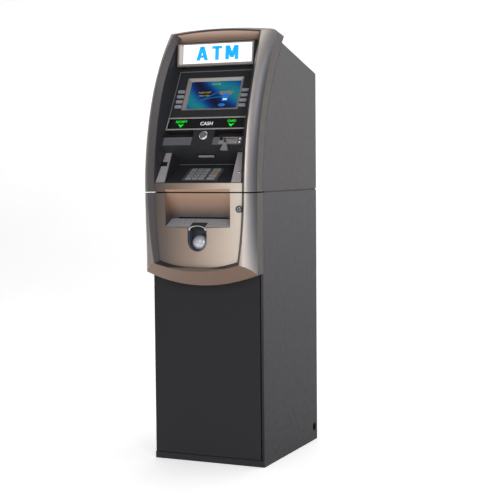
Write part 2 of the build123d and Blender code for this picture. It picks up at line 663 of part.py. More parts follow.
with BuildPart() as bolts:
    add(block((crank_x - 10, 140), (BAR_Y, BAR_Y + 6), (LOCK_Z - 20, LOCK_Z + 20)))
    with BuildSketch(Plane.XZ.offset(-(BAR_Y - 1))):
        with Locations((crank_x, LOCK_Z - 12.0)):
            SlotOverall(13, 7.4, rotation=90)
    extrude(amount=-10, mode=Mode.SUBTRACT)
    add(block((LOCK_X - 28, LOCK_X + 28), (BAR_Y - 1, BAR_Y + 8), (LOCK_Z - 8, LOCK_Z + 8)),
        mode=Mode.SUBTRACT)
    add(block((132, 140), (BAR_Y, BAR_Y + 16), (LOCK_Z - 130, LOCK_Z + 130)))
    for z in (-115, -75, 75, 115):
        with BuildSketch(Plane.YZ.offset(136)):
            with Locations((BAR_Y + 13, LOCK_Z + z)):
                Circle(6)
        extrude(amount=30)
save(bolts.part, "bolt_bar")

# ---- lower fascia -------------------------------------------------------------------------------
PANEL_SIDE = 66.0  # the face panel's depth in front of the cabinet at its sides
PANEL_CROWN = 74.0  # and at its middle: the panel is bowed outwards
PANEL_THICK = 4.0
LOWER_FIT = 0.6
LOCK_HOLE = (147.0, 845.0)
LOCK_BARREL_R = 7.5


def crowned(depth_side, depth_middle, z_low, z_high, half=175.0, back=PANEL_THICK):
    """A plate bowed in plan: depth_side in front of the cabinet at its sides, depth_middle midway."""
    reach = 157.0
    with BuildPart() as body:
        with BuildSketch(Plane.XY.offset(z_low)):
            with BuildLine():
                edge = -arc_height(half, -depth_middle, reach, depth_middle - depth_side)
                ThreePointArc((-half, FRONT - edge), (0, FRONT - depth_middle), (half, FRONT - edge))
                Line((half, FRONT - edge), (half, FRONT - edge + back))
                ThreePointArc((half, FRONT - edge + back), (0, FRONT - depth_middle + back),
                              (-half, FRONT - edge + back))
                Line((-half, FRONT - edge + back), (-half, FRONT - edge))
            make_face()
        extrude(amount=z_high - z_low)
    return body.part


def scoop_space(grow):
    """The space in the cash scoop: a hollowed back from the top edge down to the sloping tray."""
    mouth = FRONT - PANEL_CROWN - 4
    top = (mouth, SCOOP_TOP + grow)
    middle = (FRONT - 47 + grow, 868)
    back = (TRAY_BACK[0] + grow, TRAY_BACK[1] - 0.5 * grow)
    with BuildPart() as body:
        with BuildSketch(Plane.YZ.offset(-SCOOP_HALF - grow)):
            with BuildLine():
                ThreePointArc(top, middle, back)
                Polyline(back, (mouth, TRAY_FRONT_Z - 2 - grow), top)
            make_face()
        extrude(amount=2 * (SCOOP_HALF + grow))
    return body.part


def notch(grow, depth):
    """The rounded finger notch under the tray, cut from the front to a depth."""
    with BuildPart() as body:
        with BuildSketch(Plane.XZ.offset(-FRONT + depth)):
            with Locations((0, NOTCH_Z)):
                Circle(NOTCH_R + grow)
            with Locations((0, (NOTCH_Z + TRAY_FRONT_Z + 4) / 2)):
                Rectangle(2 * (NOTCH_R + grow), TRAY_FRONT_Z + 4 - NOTCH_Z)
        extrude(amount=RIDGE_PROUD - depth)
    return body.part


lower_top = below(SEAM - SEAM_GAP / 2)
lower_solid = fascia_frame(LOWER_STATIONS, 560, 12)


def fascia_lug(z, axis_y):
    """A lug of the moulding that drops over a hinge pin, with its bore at the hinge axis."""
    with BuildPart() as body:
        with BuildSketch(Plane.XY.offset(z)):
            with Locations((HINGE_X, axis_y)):
                Circle(TAB_R)
            with BuildLine():
                Polyline((HINGE_X - TAB_R, axis_y), (HINGE_X + TAB_R, axis_y), (HINGE_X + TAB_R, axis_y - 24),
                         (-HALF_WIDTH + 1.5, axis_y - 24), (-HALF_WIDTH + 1.5, axis_y - 12), close=True)
            make_face()
        extrude(amount=6)
        add(hinge_pin(z, z + 6, PIN_R + PIN_FIT, axis_y), mode=Mode.SUBTRACT)
    return body.part


with BuildPart() as lower_frame:
    add(lower_solid)
    add(lower_top, mode=Mode.INTERSECT)
    for z in LOWER_LUGS:
        add(fascia_lug(z + TAB_THICK + 1, LOWER_AXIS_Y))
        add(block((-HALF_WIDTH - 1, HINGE_X - 4.6), (LOWER_AXIS_Y - 6, FRONT + 1),
                  (z - 1.5, z + TAB_THICK + 0.8)), mode=Mode.SUBTRACT)
    add(block((-HALF_WIDTH - 1, HINGE_X + 4), (FRONT - 2, FRONT + 1), (590, SEAM)), mode=Mode.SUBTRACT)
save(lower_frame.part, "lower_fascia_frame")

lower_inside = shaped(fascia_opening(LOWER_STATIONS, -LOWER_FIT, 20), keep=[below(SEAM - SEAM_GAP / 2)])
lower_plate = crowned(PANEL_SIDE, PANEL_CROWN, 600, SEAM)
with BuildPart() as lower_panel:
    add(lower_plate)
    add(lower_inside, mode=Mode.INTERSECT)
    add(scoop_space(0.4), mode=Mode.SUBTRACT)
    add(notch(0.4, 30), mode=Mode.SUBTRACT)
    with Locations(Plane(origin=(LOCK_HOLE[0], FRONT, LOCK_HOLE[1]), z_dir=(0, -1, 0))):
        Cylinder(LOCK_BARREL_R + 0.3, 400, mode=Mode.SUBTRACT)
save(lower_panel.part, "lower_face_panel")

TRAY_FRONT_Y = FRONT - PANEL_CROWN + 5
tray_band = across([(TRAY_BACK[0] + 1, TRAY_BACK[1]), (TRAY_BACK[0] + 1, TRAY_BACK[1] - 3),
                    (TRAY_FRONT_Y, TRAY_FRONT_Z - 4.3), (TRAY_FRONT_Y, TRAY_FRONT_Z - 1.3)],
                   -SCOOP_HALF, SCOOP_HALF)
scoop_slot = block((-90, 90), (FRONT - 40, FRONT - 2), (NOTE_PATH_Z - 2, NOTE_PATH_Z + 3))
scoop_behind_panel = block((-200, 200), (FRONT - PANEL_SIDE + PANEL_THICK, FRONT), (770, SEAM))
tray_zone = across([(TRAY_BACK[0] + 20, TRAY_BACK[1] + 0.3), (TRAY_BACK[0] + 20, 740), (FRONT - 90, 740),
                    (FRONT - 90, TRAY_FRONT_Z - 10), (TRAY_BACK[0], TRAY_BACK[1] + 0.3)], -200, 200)
scoop_plate = shaped(scoop_space(3), keep=[below(SEAM - SEAM_GAP / 2), scoop_behind_panel],
                     cut=[scoop_space(0), tray_zone])
with BuildPart() as scoop:
    add(scoop_plate)
    add(scoop_slot, mode=Mode.SUBTRACT)
    for side in (-1, 1):
        add(across([(TRAY_BACK[0], 812), (FRONT - 60, 812), (FRONT - 60, 783), (TRAY_BACK[0], 806)],
                   *sorted((side * (SCOOP_HALF + 0.5), side * (SCOOP_HALF + 3)))))
save(scoop.part, "cash_scoop")

panel_zone = crowned(PANEL_SIDE, PANEL_CROWN, 700, 900, back=PANEL_THICK + 0.3)
with BuildPart() as tray:
    add(tray_band)
    add(panel_zone, mode=Mode.SUBTRACT)
    with BuildSketch(Plane.XY.offset(700)):
        with Locations((0, FRONT - PANEL_CROWN)):
            Circle(27)
    extrude(amount=200, mode=Mode.SUBTRACT)
save(tray.part, "cash_tray")

with BuildPart() as cup:
    add(notch(0, 30))
    add(block((-60, 60), (FRONT - 100, FRONT), (TRAY_FRONT_Z - 6, 900)), mode=Mode.SUBTRACT)
    add(notch(-2.5, 32.5), mode=Mode.SUBTRACT)
    add(block((-60, 60), (FRONT - 200, FRONT - 68), (600, 900)), mode=Mode.SUBTRACT)
save(cup.part, "finger_cup")

with BuildPart() as lower_lock:
    with BuildSketch(Plane(origin=(LOCK_HOLE[0], FRONT - 40, LOCK_HOLE[1]), z_dir=(0, -1, 0))):
        Circle(LOCK_BARREL_R)
    extrude(amount=30)
    add(block((LOCK_HOLE[0] - 5, LOCK_HOLE[0] + 5), (FRONT - 45, FRONT - 40),
              (LOCK_HOLE[1] - 6, LOCK_HOLE[1] + 26)))
    add(block((LOCK_HOLE[0] - 0.6, LOCK_HOLE[0] + 0.6), (FRONT - 71, FRONT - 67),
              (LOCK_HOLE[1] - 4, LOCK_HOLE[1] + 4)), mode=Mode.SUBTRACT)
save(lower_lock.part, "lower_fascia_lock")

# ---- upper fascia -------------------------------------------------------------------------------
upper_zone = above(SEAM + SEAM_GAP / 2)
upper_solid = fascia_frame(UPPER_STATIONS, 860, 44)
with BuildPart() as upper_frame:
    add(upper_solid)
    add(upper_zone, mode=Mode.INTERSECT)
    for z in UPPER_LUGS:
        add(fascia_lug(z + TAB_THICK + 1, FRONT))
        add(block((-HALF_WIDTH - 1, HINGE_X + 4), (FRONT + 4.6, FRONT + 20), (z - 2, z + 14)),
            mode=Mode.SUBTRACT)
        add(block((-HALF_WIDTH - 1, HINGE_X - 4.6), (FRONT - 0.5, FRONT + 20), (z - 2, z + 14)),
            mode=Mode.SUBTRACT)
save(upper_frame.part, "upper_fascia_frame")

chin_z = (SEAM + SEAM_GAP / 2, SHELF_FRONT[1] - 0.5)
chin_plate = crowned(PANEL_SIDE, PANEL_CROWN, *chin_z)
chin_flange = crowned(PANEL_SIDE, PANEL_CROWN, chin_z[1] - 3, chin_z[1], back=9)
chin_keep = fascia_opening(UPPER_STATIONS, -LOWER_FIT, 20)
lip_zone = block((-200, 200), (FRONT - 100, FRONT - 40), (898, 920))
scoop_lip = shaped(scoop_space(3), keep=[upper_zone, lip_zone], cut=[scoop_space(0)])
chin_lip = shaped(scoop_lip, keep=[crowned(PANEL_SIDE, PANEL_CROWN, 898, 920, back=30)])
chin_body = shaped(chin_plate, keep=[chin_keep], cut=[scoop_space(0.4)])
chin_top = shaped(chin_flange, keep=[chin_keep])
with BuildPart() as chin:
    add(chin_body)
    add(chin_top)
    add(chin_lip)
save(chin.part, "chin_panel")

CONSOLE_DRAFT = 0.2
CONSOLE_DEEP = -60.0


def console_walls(grow):
    """The space between the console's side walls, which draw in slightly towards the back."""

    def outline(half):
        rim = half - WALL_RUN - LOWER_FIT - CONSOLE_SKIN + grow
        deep = rim - CONSOLE_DRAFT * (FOOT_DEPTH - CONSOLE_DEEP)
        right = [(rim, FOOT_DEPTH - 0.5), (deep, CONSOLE_DEEP)]
        return right + [(-x, depth) for x, depth in reversed(right)]

    return station_loft(UPPER_STATIONS, outline)


def console_air(grow):
    """The space over the shelf, under the overhang and in front of the leaning face."""
    ahead = FRONT - 160
    with BuildPart() as body:
        with BuildSketch(Plane.YZ.offset(-HALF_WIDTH)):
            with BuildLine():
                Polyline((ahead, SHELF_FRONT[1]), SHELF_FRONT, SHELF_BACK, STEP_EDGE, FACE_TOP,
                         (FACE_TOP[0], SIGN_TOP_Z), (ahead, SIGN_TOP_Z), close=True)
            make_face()
            if grow:
                offset(amount=grow, kind=Kind.INTERSECTION)
        extrude(amount=2 * HALF_WIDTH)
    return body.part


def face_pad(x, v, low, high, corner=0.0):
    return pad(FACE, x, v, low, high, corner)


BLOCK_HALF = 38.0
LEDGE_V = 28.4
RECESS_TOP_V = 57.0
RECESS_DEPTH = 30.0
BAND_V = (61.0, 98.0)
WINDOW_OUT = ((-102.6, 102.6), (131.4, 254.6))
WINDOW_IN = ((-90.0, 90.0), (142.3, 244.6))
WINDOW_DEPTH = 8.3
FKEY_X = 116.2
FKEY_V = [144.9 + 19.0 * row for row in range(4)]
FKEY_SIZE = (24.0, 11.0)
LOCK_AT = (3.0, 33.0)
EPP_X = (-63.7, 63.7)
EPP_V = (13.0, 88.0)
READER_X = (66.0, 122.0)
CHEEK_TOP = (FRONT - 8.6, 1028.0)
SOFFIT_SHELF_HALF = 138.0

inner_walls = console_walls(0)
outer_walls = console_walls(CONSOLE_SKIN)
console_space = shaped(console_air(0), keep=[inner_walls])
console_solid = shaped(console_air(CONSOLE_SKIN), keep=[outer_walls], cut=[below(SHELF_FRONT[1] - 0.4)])
recess_boxes = []
recess_spaces = []
for side in (-1, 1):
    span = sorted((side * (BLOCK_HALF - CONSOLE_SKIN), side * 175))
    hollow_span = sorted((side * BLOCK_HALF, side * 175))
    recess_boxes.append(shaped(face_pad(span, (LEDGE_V - 3, RECESS_TOP_V + 3), -RECESS_DEPTH - 3, -1),
                               keep=[outer_walls]))
    recess_spaces.append(shaped(face_pad(hollow_span, (LEDGE_V, RECESS_TOP_V), -RECESS_DEPTH, 5),
                                keep=[inner_walls]))
cheeks = []
for side in (-1, 1):
    cheek = across([SHELF_FRONT, CHEEK_TOP, SHELF_BACK], *sorted((side * CHEEK_HALF, side * 175)))
    cheeks.append(shaped(cheek, keep=[outer_walls]))
band_rims = []
for v in ((BAND_V[0] - 3, BAND_V[0]), (BAND_V[1], BAND_V[1] + 3)):
    band_rims.append(shaped(face_pad((-175, 175), v, -1, 1.4), keep=[inner_walls]))
top_shelf = shaped(block((-SOFFIT_SHELF_HALF, SOFFIT_SHELF_HALF), (FACE_TOP[0], FACE_TOP[0] + 26),
                         (SIGN_TOP_Z, SIGN_TOP_Z + CONSOLE_SKIN)), keep=[outer_walls])

with BuildPart() as console:
    add(console_solid)
    add(console_space, mode=Mode.SUBTRACT)
    add(top_shelf)
    for piece in recess_boxes + cheeks + band_rims:
        add(piece)
    for piece in recess_spaces:
        add(piece, mode=Mode.SUBTRACT)
    add(face_pad(*WINDOW_OUT, -20, 5), mode=Mode.SUBTRACT)
    for side in (-1, 1):
        for v in FKEY_V:
            x = side * FKEY_X
            add(face_pad((x - FKEY_SIZE[0] / 2 - 0.4, x + FKEY_SIZE[0] / 2 + 0.4),
                         (v - FKEY_SIZE[1] / 2 - 0.4, v + FKEY_SIZE[1] / 2 + 0.4), -10, 5),
                mode=Mode.SUBTRACT)
    add(face_pad((-146, 146), BAND_V, -1.8, 5), mode=Mode.SUBTRACT)
    add(rod(Plane(origin=FACE.from_local_coords((*LOCK_AT, -20)), z_dir=FACE.z_dir), 12.3, 40),
        mode=Mode.SUBTRACT)
    add(pad(SHELF, (-59, 59), (16, 85), -10, 10), mode=Mode.SUBTRACT)
    add(face_pad((READER_X[0] - 0.5, READER_X[1] + 0.5), (3.5, 24.5), -10, 10), mode=Mode.SUBTRACT)
    add(face_pad((-132, -52), (36, 42), -RECESS_DEPTH - 10, -10), mode=Mode.SUBTRACT)
save(console.part, "console_shell")

with BuildPart() as bezel:
    add(face_pad(*[(a + 0.4, b - 0.4) for a, b in WINDOW_OUT], -WINDOW_DEPTH - 2, 0))
    with BuildSketch(FACE.offset(0.01)):
        with Locations((0, sum(WINDOW_OUT[1]) / 2)):
            Rectangle(2 * WINDOW_OUT[0][1] - 4, WINDOW_OUT[1][1] - WINDOW_OUT[1][0] - 4)
    with BuildSketch(FACE.offset(-WINDOW_DEPTH)):
        with Locations((0, sum(WINDOW_IN[1]) / 2)):
            Rectangle(2 * WINDOW_IN[0][1], WINDOW_IN[1][1] - WINDOW_IN[1][0])
    loft(mode=Mode.SUBTRACT)
    add(face_pad(*WINDOW_IN, -20, 0), mode=Mode.SUBTRACT)
save(bezel.part, "display_bezel")

with BuildPart() as display:
    add(face_pad((-97, 97), (134, 252), -32, -WINDOW_DEPTH - 2.2))
    add(face_pad(*[(a + 0.3, b - 0.3) for a, b in WINDOW_IN], -WINDOW_DEPTH - 2.2, -WINDOW_DEPTH - 0.4))
save(display.part, "display_module")

with BuildPart() as band:
    add(face_pad((-145.5, 145.5), (BAND_V[0] + 0.4, BAND_V[1] - 0.4), -1.8, -0.5))
save(band.part, "indicator_band")

SIGN_HALF = 139.5
LENS_HALF = 132.5
SIGN_FACE = plane_along(FRONT + 72, 1314, 8, 76)
with BuildPart() as sign:
    add(across([(FRONT + 72, 1314), (FRONT + 80, 1390), (FRONT + 98, 1390), (FRONT + 98, 1314)],
               -SIGN_HALF, SIGN_HALF))
    add(pad(SIGN_FACE, (-LENS_HALF, LENS_HALF), (8.5, 72.5), -12, 1, corner=2), mode=Mode.SUBTRACT)
    chamfer(sign.faces().sort_by(Axis.Y)[0].edges(), length=1.5)
save(sign.part, "sign_frame")

with BuildPart() as lens:
    add(pad(SIGN_FACE, (-LENS_HALF + 0.4, LENS_HALF - 0.4), (8.9, 72.1), -4, -1.2, corner=1.6))
save(lens.part, "sign_lens")

with BuildPart() as reader:
    add(face_pad(READER_X, (4, 24), -95, 3))
    add(face_pad((60, 128), (2.5, 25.5), 0.1, 3, corner=3))
    for v in ((8.5, 13.0), (16.0, 20.5)):
        add(face_pad((67, 121), v, 0.1, 13, corner=2))
    with BuildSketch(FACE.offset(0.1)):
        with BuildLine():
            Polyline((82, 4), (92, 4), (101, -22), (75, -22), close=True)
        make_face()
    extrude(amount=7)
    with BuildSketch(FACE.offset(3)):
        for v in (7, 22):
            with BuildLine():
                Polyline((80, v), (92, v), (88, 14.5), (84, 14.5), close=True)
            make_face()
    extrude(amount=20, mode=Mode.SUBTRACT)
    add(face_pad((70, 118), (13.3, 15.7), -60, 20), mode=Mode.SUBTRACT)
save(reader.part, "card_reader")

with BuildPart() as console_lock:
    lock_plane = Plane(origin=FACE.from_local_coords((*LOCK_AT, 0)), x_dir=(1, 0, 0), z_dir=FACE.z_dir)
    with BuildSketch(lock_plane.offset(0.4)):
        Circle(16)
    extrude(amount=8)
    fillet(console_lock.faces().sort_by(SortBy.DISTANCE).edges().filter_by(GeomType.CIRCLE).sort_by(
        Axis(lock_plane.origin, lock_plane.z_dir))[-1:], radius=5)
    with BuildSketch(lock_plane.offset(-26)):
        Circle(12)
    extrude(amount=26.5)
    add(pad(lock_plane, (-5, 5), (-6, 26), -30, -26))
save(console_lock.part, "console_lock")

ROLL_V = 97.0
ROLL_H = -78.0
ROLL_R = 27.0
SPINDLE_R = 4.0
roll_axis = FACE.from_local_coords((0, ROLL_V, ROLL_H))
with BuildPart() as printer:
    add(face_pad((-138, -46), (27, 62), -112, -36))
    for x in (-138, -50):
        add(face_pad((x, x + 4), (62, 105), -112, -44))
    with BuildSketch(Plane.YZ.offset(-138)):
        with Locations((roll_axis.Y, roll_axis.Z)):
            Circle(SPINDLE_R)
    extrude(amount=92)
save(printer.part, "receipt_printer")

with BuildPart() as roll:
    with BuildSketch(Plane.YZ.offset(-132)):
        with Locations((roll_axis.Y, roll_axis.Z)):
            Circle(ROLL_R)
            Circle(SPINDLE_R + PIN_FIT, mode=Mode.SUBTRACT)
    extrude(amount=80)
save(roll.part, "paper_roll")

# ---- keys ---------------------------------------------------------------------------------------
KEY_COLUMNS = ((-41.5, 20.0), (-18.0, 20.0), (5.6, 20.0), (40.0, 27.0))
KEY_ROWS = [22.75 + 18.3 * row for row in range(4)]
KEY_DEEP = 13.5
with BuildPart() as epp:
    add(pad(SHELF, EPP_X, EPP_V, 0, 3, corner=2.5))
    add(pad(SHELF, (-58.5, 58.5), (16.5, 84.5), -28, 0))
    for x, width in KEY_COLUMNS:
        for v in KEY_ROWS:
            add(pad(SHELF, (x - width / 2 - 0.4, x + width / 2 + 0.4),
                    (v - KEY_DEEP / 2 - 0.4, v + KEY_DEEP / 2 + 0.4), -6, 5), mode=Mode.SUBTRACT)
save(epp.part, "keypad_plate")

for row, v in enumerate(reversed(KEY_ROWS), start=1):
    for column, (x, width) in enumerate(KEY_COLUMNS, start=1):
        with BuildPart() as key:
            add(pad(SHELF, (x - width / 2, x + width / 2), (v - KEY_DEEP / 2, v + KEY_DEEP / 2),
                    -3.5, 6, corner=1.5))
            top = key.faces().sort_by(Axis(SHELF.origin, SHELF.z_dir))[-1]
            chamfer(top.edges(), length=0.8)
        save(key.part, f"keypad_key_{row}_{column}")

for side, side_name in ((-1, "left"), (1, "right")):
    for row, v in enumerate(reversed(FKEY_V), start=1):
        x = side * FKEY_X
        with BuildPart() as key:
            add(face_pad((x - FKEY_SIZE[0] / 2, x + FKEY_SIZE[0] / 2),
                         (v - FKEY_SIZE[1] / 2, v + FKEY_SIZE[1] / 2), -5, 2.6, corner=1.5))
            add(face_pad((x - FKEY_SIZE[0] / 2 - 1, x + FKEY_SIZE[0] / 2 + 1),
                         (v - FKEY_SIZE[1] / 2 - 1.5, v + FKEY_SIZE[1] / 2 + 1.5), -6, -3.4))
        save(key.part, f"function_key_{side_name}_{row}")
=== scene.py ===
import json
from math import cos, hypot, pi, radians, sin

import bpy
from mathutils import Matrix, Vector


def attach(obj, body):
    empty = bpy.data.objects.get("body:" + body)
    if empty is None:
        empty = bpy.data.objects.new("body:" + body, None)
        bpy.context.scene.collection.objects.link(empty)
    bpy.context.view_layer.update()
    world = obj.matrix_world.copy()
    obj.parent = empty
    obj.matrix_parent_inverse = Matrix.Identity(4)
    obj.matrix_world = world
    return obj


# The looks of a slim free-standing cash machine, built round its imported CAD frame. Lengths in the
# helpers are in millimetres on named planes; Blender's own units are metres.

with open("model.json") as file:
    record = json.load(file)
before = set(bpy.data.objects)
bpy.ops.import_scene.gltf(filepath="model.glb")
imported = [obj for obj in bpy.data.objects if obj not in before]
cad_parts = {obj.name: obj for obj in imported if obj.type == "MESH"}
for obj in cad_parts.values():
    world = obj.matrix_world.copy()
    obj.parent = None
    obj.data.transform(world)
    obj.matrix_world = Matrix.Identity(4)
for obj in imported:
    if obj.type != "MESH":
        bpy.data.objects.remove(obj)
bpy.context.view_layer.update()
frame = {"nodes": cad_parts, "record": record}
nodes = frame["nodes"]

MM = 0.001
FRONT = -198.0  # the cabinet's front face


def srgb(red, green, blue):
    """A display colour, 0 to 255, as the linear colour the shaders take."""
    return tuple(((c / 255 + 0.055) / 1.055) ** 2.4 if c > 10 else c / 3294.6 for c in (red, green, blue))


# ---- planes -------------------------------------------------------------------------------------
class Flat:
    """A working plane: its origin, its own x and v directions, and its outward normal."""

    def __init__(self, origin, x_dir, v_dir):
        self.origin = Vector(origin)
        self.x_dir = Vector(x_dir).normalized()
        self.v_dir = Vector(v_dir).normalized()
        self.normal = self.x_dir.cross(self.v_dir)

    def at(self, x, v, height=0.0):
        return (self.origin + self.x_dir * x + self.v_dir * v + self.normal * height) * MM

    def matrix(self, x, v, height=0.0):
        spot = Matrix.Translation(self.at(x, v, height))
        turn = Matrix((self.x_dir, self.v_dir, self.normal)).transposed().to_4x4()
        return spot @ turn


TILT = radians(28.2)
FACE = Flat((0, FRONT - 36, 1051), (1, 0, 0), (0, sin(TILT), cos(TILT)))
SHELF = Flat((0, FRONT - 66, 929), (1, 0, 0), (0, 105, 59))
OVERHANG = Flat((0, FRONT + 39, 988), (1, 0, 0), (0, -75, 63))
CHEEK = Flat((0, FRONT - 66, 929), (1, 0, 0), (0, 57.4, 99))
SIGN = Flat((0, FRONT + 72, 1314), (1, 0, 0), (0, 8, 76))
UPRIGHT = Flat((0, FRONT, 0), (1, 0, 0), (0, 0, 1))


# ---- finishes -----------------------------------------------------------------------------------
def surface(name, colour, metallic=0.0, rough=0.5, grain=700.0, bump=0.05, vary=0.06, coat=0.0,
            edge=0.6, glow=0.0, mottle=5.0, shine=0.5, along=None, painted_light_by_facing=None):
    """A procedural finish: mottled colour, uneven roughness, fine grain and softened edges.

    along gives an axis and colours from one end of the piece to the other, used as painted light and shade.
    painted_light_by_facing paints light and shade as colours for surfaces that look down or up, and for those that look
    left or right on each half of the piece."""
    material = bpy.data.materials.new(name)
    material.use_nodes = True
    tree = material.node_tree
    shader = tree.nodes["Principled BSDF"]
    shader.inputs["Metallic"].default_value = metallic
    shader.inputs["Specular IOR Level"].default_value = shine
    shader.inputs["Coat Weight"].default_value = coat
    shader.inputs["Coat Roughness"].default_value = 0.12
    place = tree.nodes.new("ShaderNodeTexCoord")

    def noise(scale, detail):
        node = tree.nodes.new("ShaderNodeTexNoise")
        node.inputs["Scale"].default_value = scale
        node.inputs["Detail"].default_value = detail
        tree.links.new(place.outputs["Object"], node.inputs["Vector"])
        return node.outputs["Fac"]

    def spread(source, low, high, start=0.3, end=0.7):
        node = tree.nodes.new("ShaderNodeMapRange")
        node.inputs["From Min"].default_value = start
        node.inputs["From Max"].default_value = end
        node.inputs["To Min"].default_value = low
        node.inputs["To Max"].default_value = high
        tree.links.new(source, node.inputs["Value"])
        return node.outputs["Result"]

    def part_of(output, axis):
        node = tree.nodes.new("ShaderNodeSeparateXYZ")
        tree.links.new(place.outputs[output], node.inputs["Vector"])
        return node.outputs[axis]

    def shades(source, stops):
        node = tree.nodes.new("ShaderNodeValToRGB")
        ends = node.color_ramp.elements
        ends[0].position, ends[0].color = stops[0][0], (*stops[0][1], 1)
        ends[1].position, ends[1].color = stops[-1][0], (*stops[-1][1], 1)
        for position, shade in stops[1:-1]:
            ends.new(position).color = (*shade, 1)
        tree.links.new(source, node.inputs["Fac"])
        return node.outputs["Color"]

    def mixed(factor, first, second):
        node = tree.nodes.new("ShaderNodeMix")
        node.data_type = "RGBA"
        tree.links.new(factor, node.inputs["Factor"])
        tree.links.new(first, node.inputs[6])
        tree.links.new(second, node.inputs[7])
        return node.outputs[2]

    tone = tree.nodes.new("ShaderNodeMix")
    tone.data_type = "RGBA"
    tone.blend_type = "MULTIPLY"
    tone.inputs["Factor"].default_value = 1.0
    tone.inputs[6].default_value = (*colour, 1)
    # painted light and shade: colours that run along one axis of the piece
    if along:
        tree.links.new(shades(part_of("Generated", along[0]), along[1]), tone.inputs[6])
    # painted light and shade: colours chosen by which way each face looks
    if painted_light_by_facing:
        sideways = spread(part_of("Normal", "X"), 0, 1, -1, 1)
        upright = spread(part_of("Normal", "Z"), 0, 1, -1, 1)
        steep = tree.nodes.new("ShaderNodeMath")
        steep.operation = "ABSOLUTE"
        tree.links.new(part_of("Normal", "X"), steep.inputs[0])
        half = spread(part_of("Generated", "X"), 0, 1, 0.49, 0.51)
        sides = mixed(half, shades(sideways, painted_light_by_facing["left"]), shades(sideways, painted_light_by_facing["right"]))
        level = shades(upright, painted_light_by_facing["level"])
        tree.links.new(mixed(spread(steep.outputs["Value"], 0, 1, 0.28, 0.5), level, sides), tone.inputs[6])
    tree.links.new(spread(noise(mottle, 4), 1 - vary, 1 + vary), tone.inputs[7])
    tree.links.new(tone.outputs[2], shader.inputs["Base Color"])
    tree.links.new(spread(noise(mottle * 9, 3), rough - 0.04, rough + 0.04), shader.inputs["Roughness"])
    soft = tree.nodes.new("ShaderNodeBevel")
    soft.samples = 4
    soft.inputs["Radius"].default_value = edge * MM
    relief = tree.nodes.new("ShaderNodeBump")
    relief.inputs["Strength"].default_value = bump
    relief.inputs["Distance"].default_value = 0.4 * MM
    tree.links.new(noise(grain, 2), relief.inputs["Height"])
    tree.links.new(soft.outputs["Normal"], relief.inputs["Normal"])
    tree.links.new(relief.outputs["Normal"], shader.inputs["Normal"])
    if glow:
        shader.inputs["Emission Strength"].default_value = glow
        tree.links.new(tone.outputs[2], shader.inputs["Emission Color"])
    return material


def picture_finish(name):
    """The lit picture on the screen: navy and teal sweeps."""
    material = surface(name, (0.0, 0.0, 0.0), rough=0.25, bump=0.0, vary=0.02, glow=1.0)
    tree = material.node_tree
    shader = tree.nodes["Principled BSDF"]
    place = tree.nodes.new("ShaderNodeTexCoord")
    wave = tree.nodes.new("ShaderNodeTexWave")
    wave.bands_direction = "DIAGONAL"
    wave.inputs["Scale"].default_value = 3.4
    wave.inputs["Distortion"].default_value = 5.0
    wave.inputs["Detail"].default_value = 1.0
    wave.inputs["Detail Scale"].default_value = 1.2
    tree.links.new(place.outputs["Object"], wave.inputs["Vector"])
    ramp = tree.nodes.new("ShaderNodeValToRGB")
    stops = ((0.0, srgb(6, 10, 44)), (0.4, srgb(0, 42, 104)), (0.72, srgb(0, 84, 134)), (1.0, srgb(18, 116, 124)))
    ramp.color_ramp.elements[0].color = (*stops[0][1], 1)
    ramp.color_ramp.elements[1].color = (*stops[-1][1], 1)
    for position, shade in stops[1:-1]:
        ramp.color_ramp.elements.new(position).color = (*shade, 1)
    tree.links.new(wave.outputs["Fac"], ramp.inputs["Fac"])
    tree.links.new(ramp.outputs["Color"], shader.inputs["Emission Color"])
    return material


# Painted light and shade on the champagne frame, by which way each face looks: a painted highlight band near the right
# ridge fading to darker grey towards the side strip, lighter and darker bands on the left bevel, warm brown on faces
# that look down and grey on faces that look up.
FRAME_PAINTED_LIGHT = {
    "left": ((0.1, srgb(116, 108, 104)), (0.3, srgb(142, 132, 126)), (0.5, srgb(130, 120, 115)),
             (0.8, srgb(114, 108, 107)), (1.0, srgb(90, 90, 95))),
    "right": ((0.0, srgb(50, 51, 56)), (0.5, srgb(112, 104, 100)), (0.74, srgb(216, 205, 198)),
              (0.82, srgb(186, 178, 174)), (0.9, srgb(140, 138, 142)), (0.975, srgb(84, 84, 90)),
              (0.988, srgb(58, 50, 46)), (1.0, srgb(54, 46, 42))),
    "level": ((0.1, srgb(124, 100, 86)), (0.42, srgb(126, 102, 88)), (0.5, srgb(108, 95, 88)),
              (0.7, srgb(72, 69, 74)), (0.94, srgb(72, 70, 76)), (0.97, srgb(110, 106, 107)),
              (1.0, srgb(112, 108, 108))),
}
# Painted shade: the cabinet's grey paint darkens towards the floor.
SIDE_PAINTED_SHADE = ("Z", ((0.0, srgb(38, 37, 41)), (0.5, srgb(61, 59, 63)), (1.0, srgb(82, 80, 83))))
# Painted shade: the housing's grey is darker towards the bottom.
HOUSING_PAINTED_SHADE = ("Z", ((0.0, srgb(84, 82, 84)), (0.6, srgb(91, 89, 90)), (1.0, srgb(95, 94, 95))))
# Painted shade and sheen: the lower panel's champagne runs from dark on the left to bright on the right.
PANEL_PAINTED_SHEEN = ("X", ((0.0, srgb(112, 102, 98)), (0.12, srgb(126, 113, 106)), (0.45, srgb(176, 155, 140)),
                    (0.8, srgb(222, 205, 190)), (1.0, srgb(244, 232, 218))))
# Painted shade: the scoop's brown darkens towards the bottom of the recess.
SCOOP_PAINTED_SHADE = ("Z", ((0.1, srgb(64, 66, 72)), (0.35, srgb(96, 86, 84)), (0.65, srgb(150, 121, 103)),
                    (1.0, srgb(172, 137, 114))))
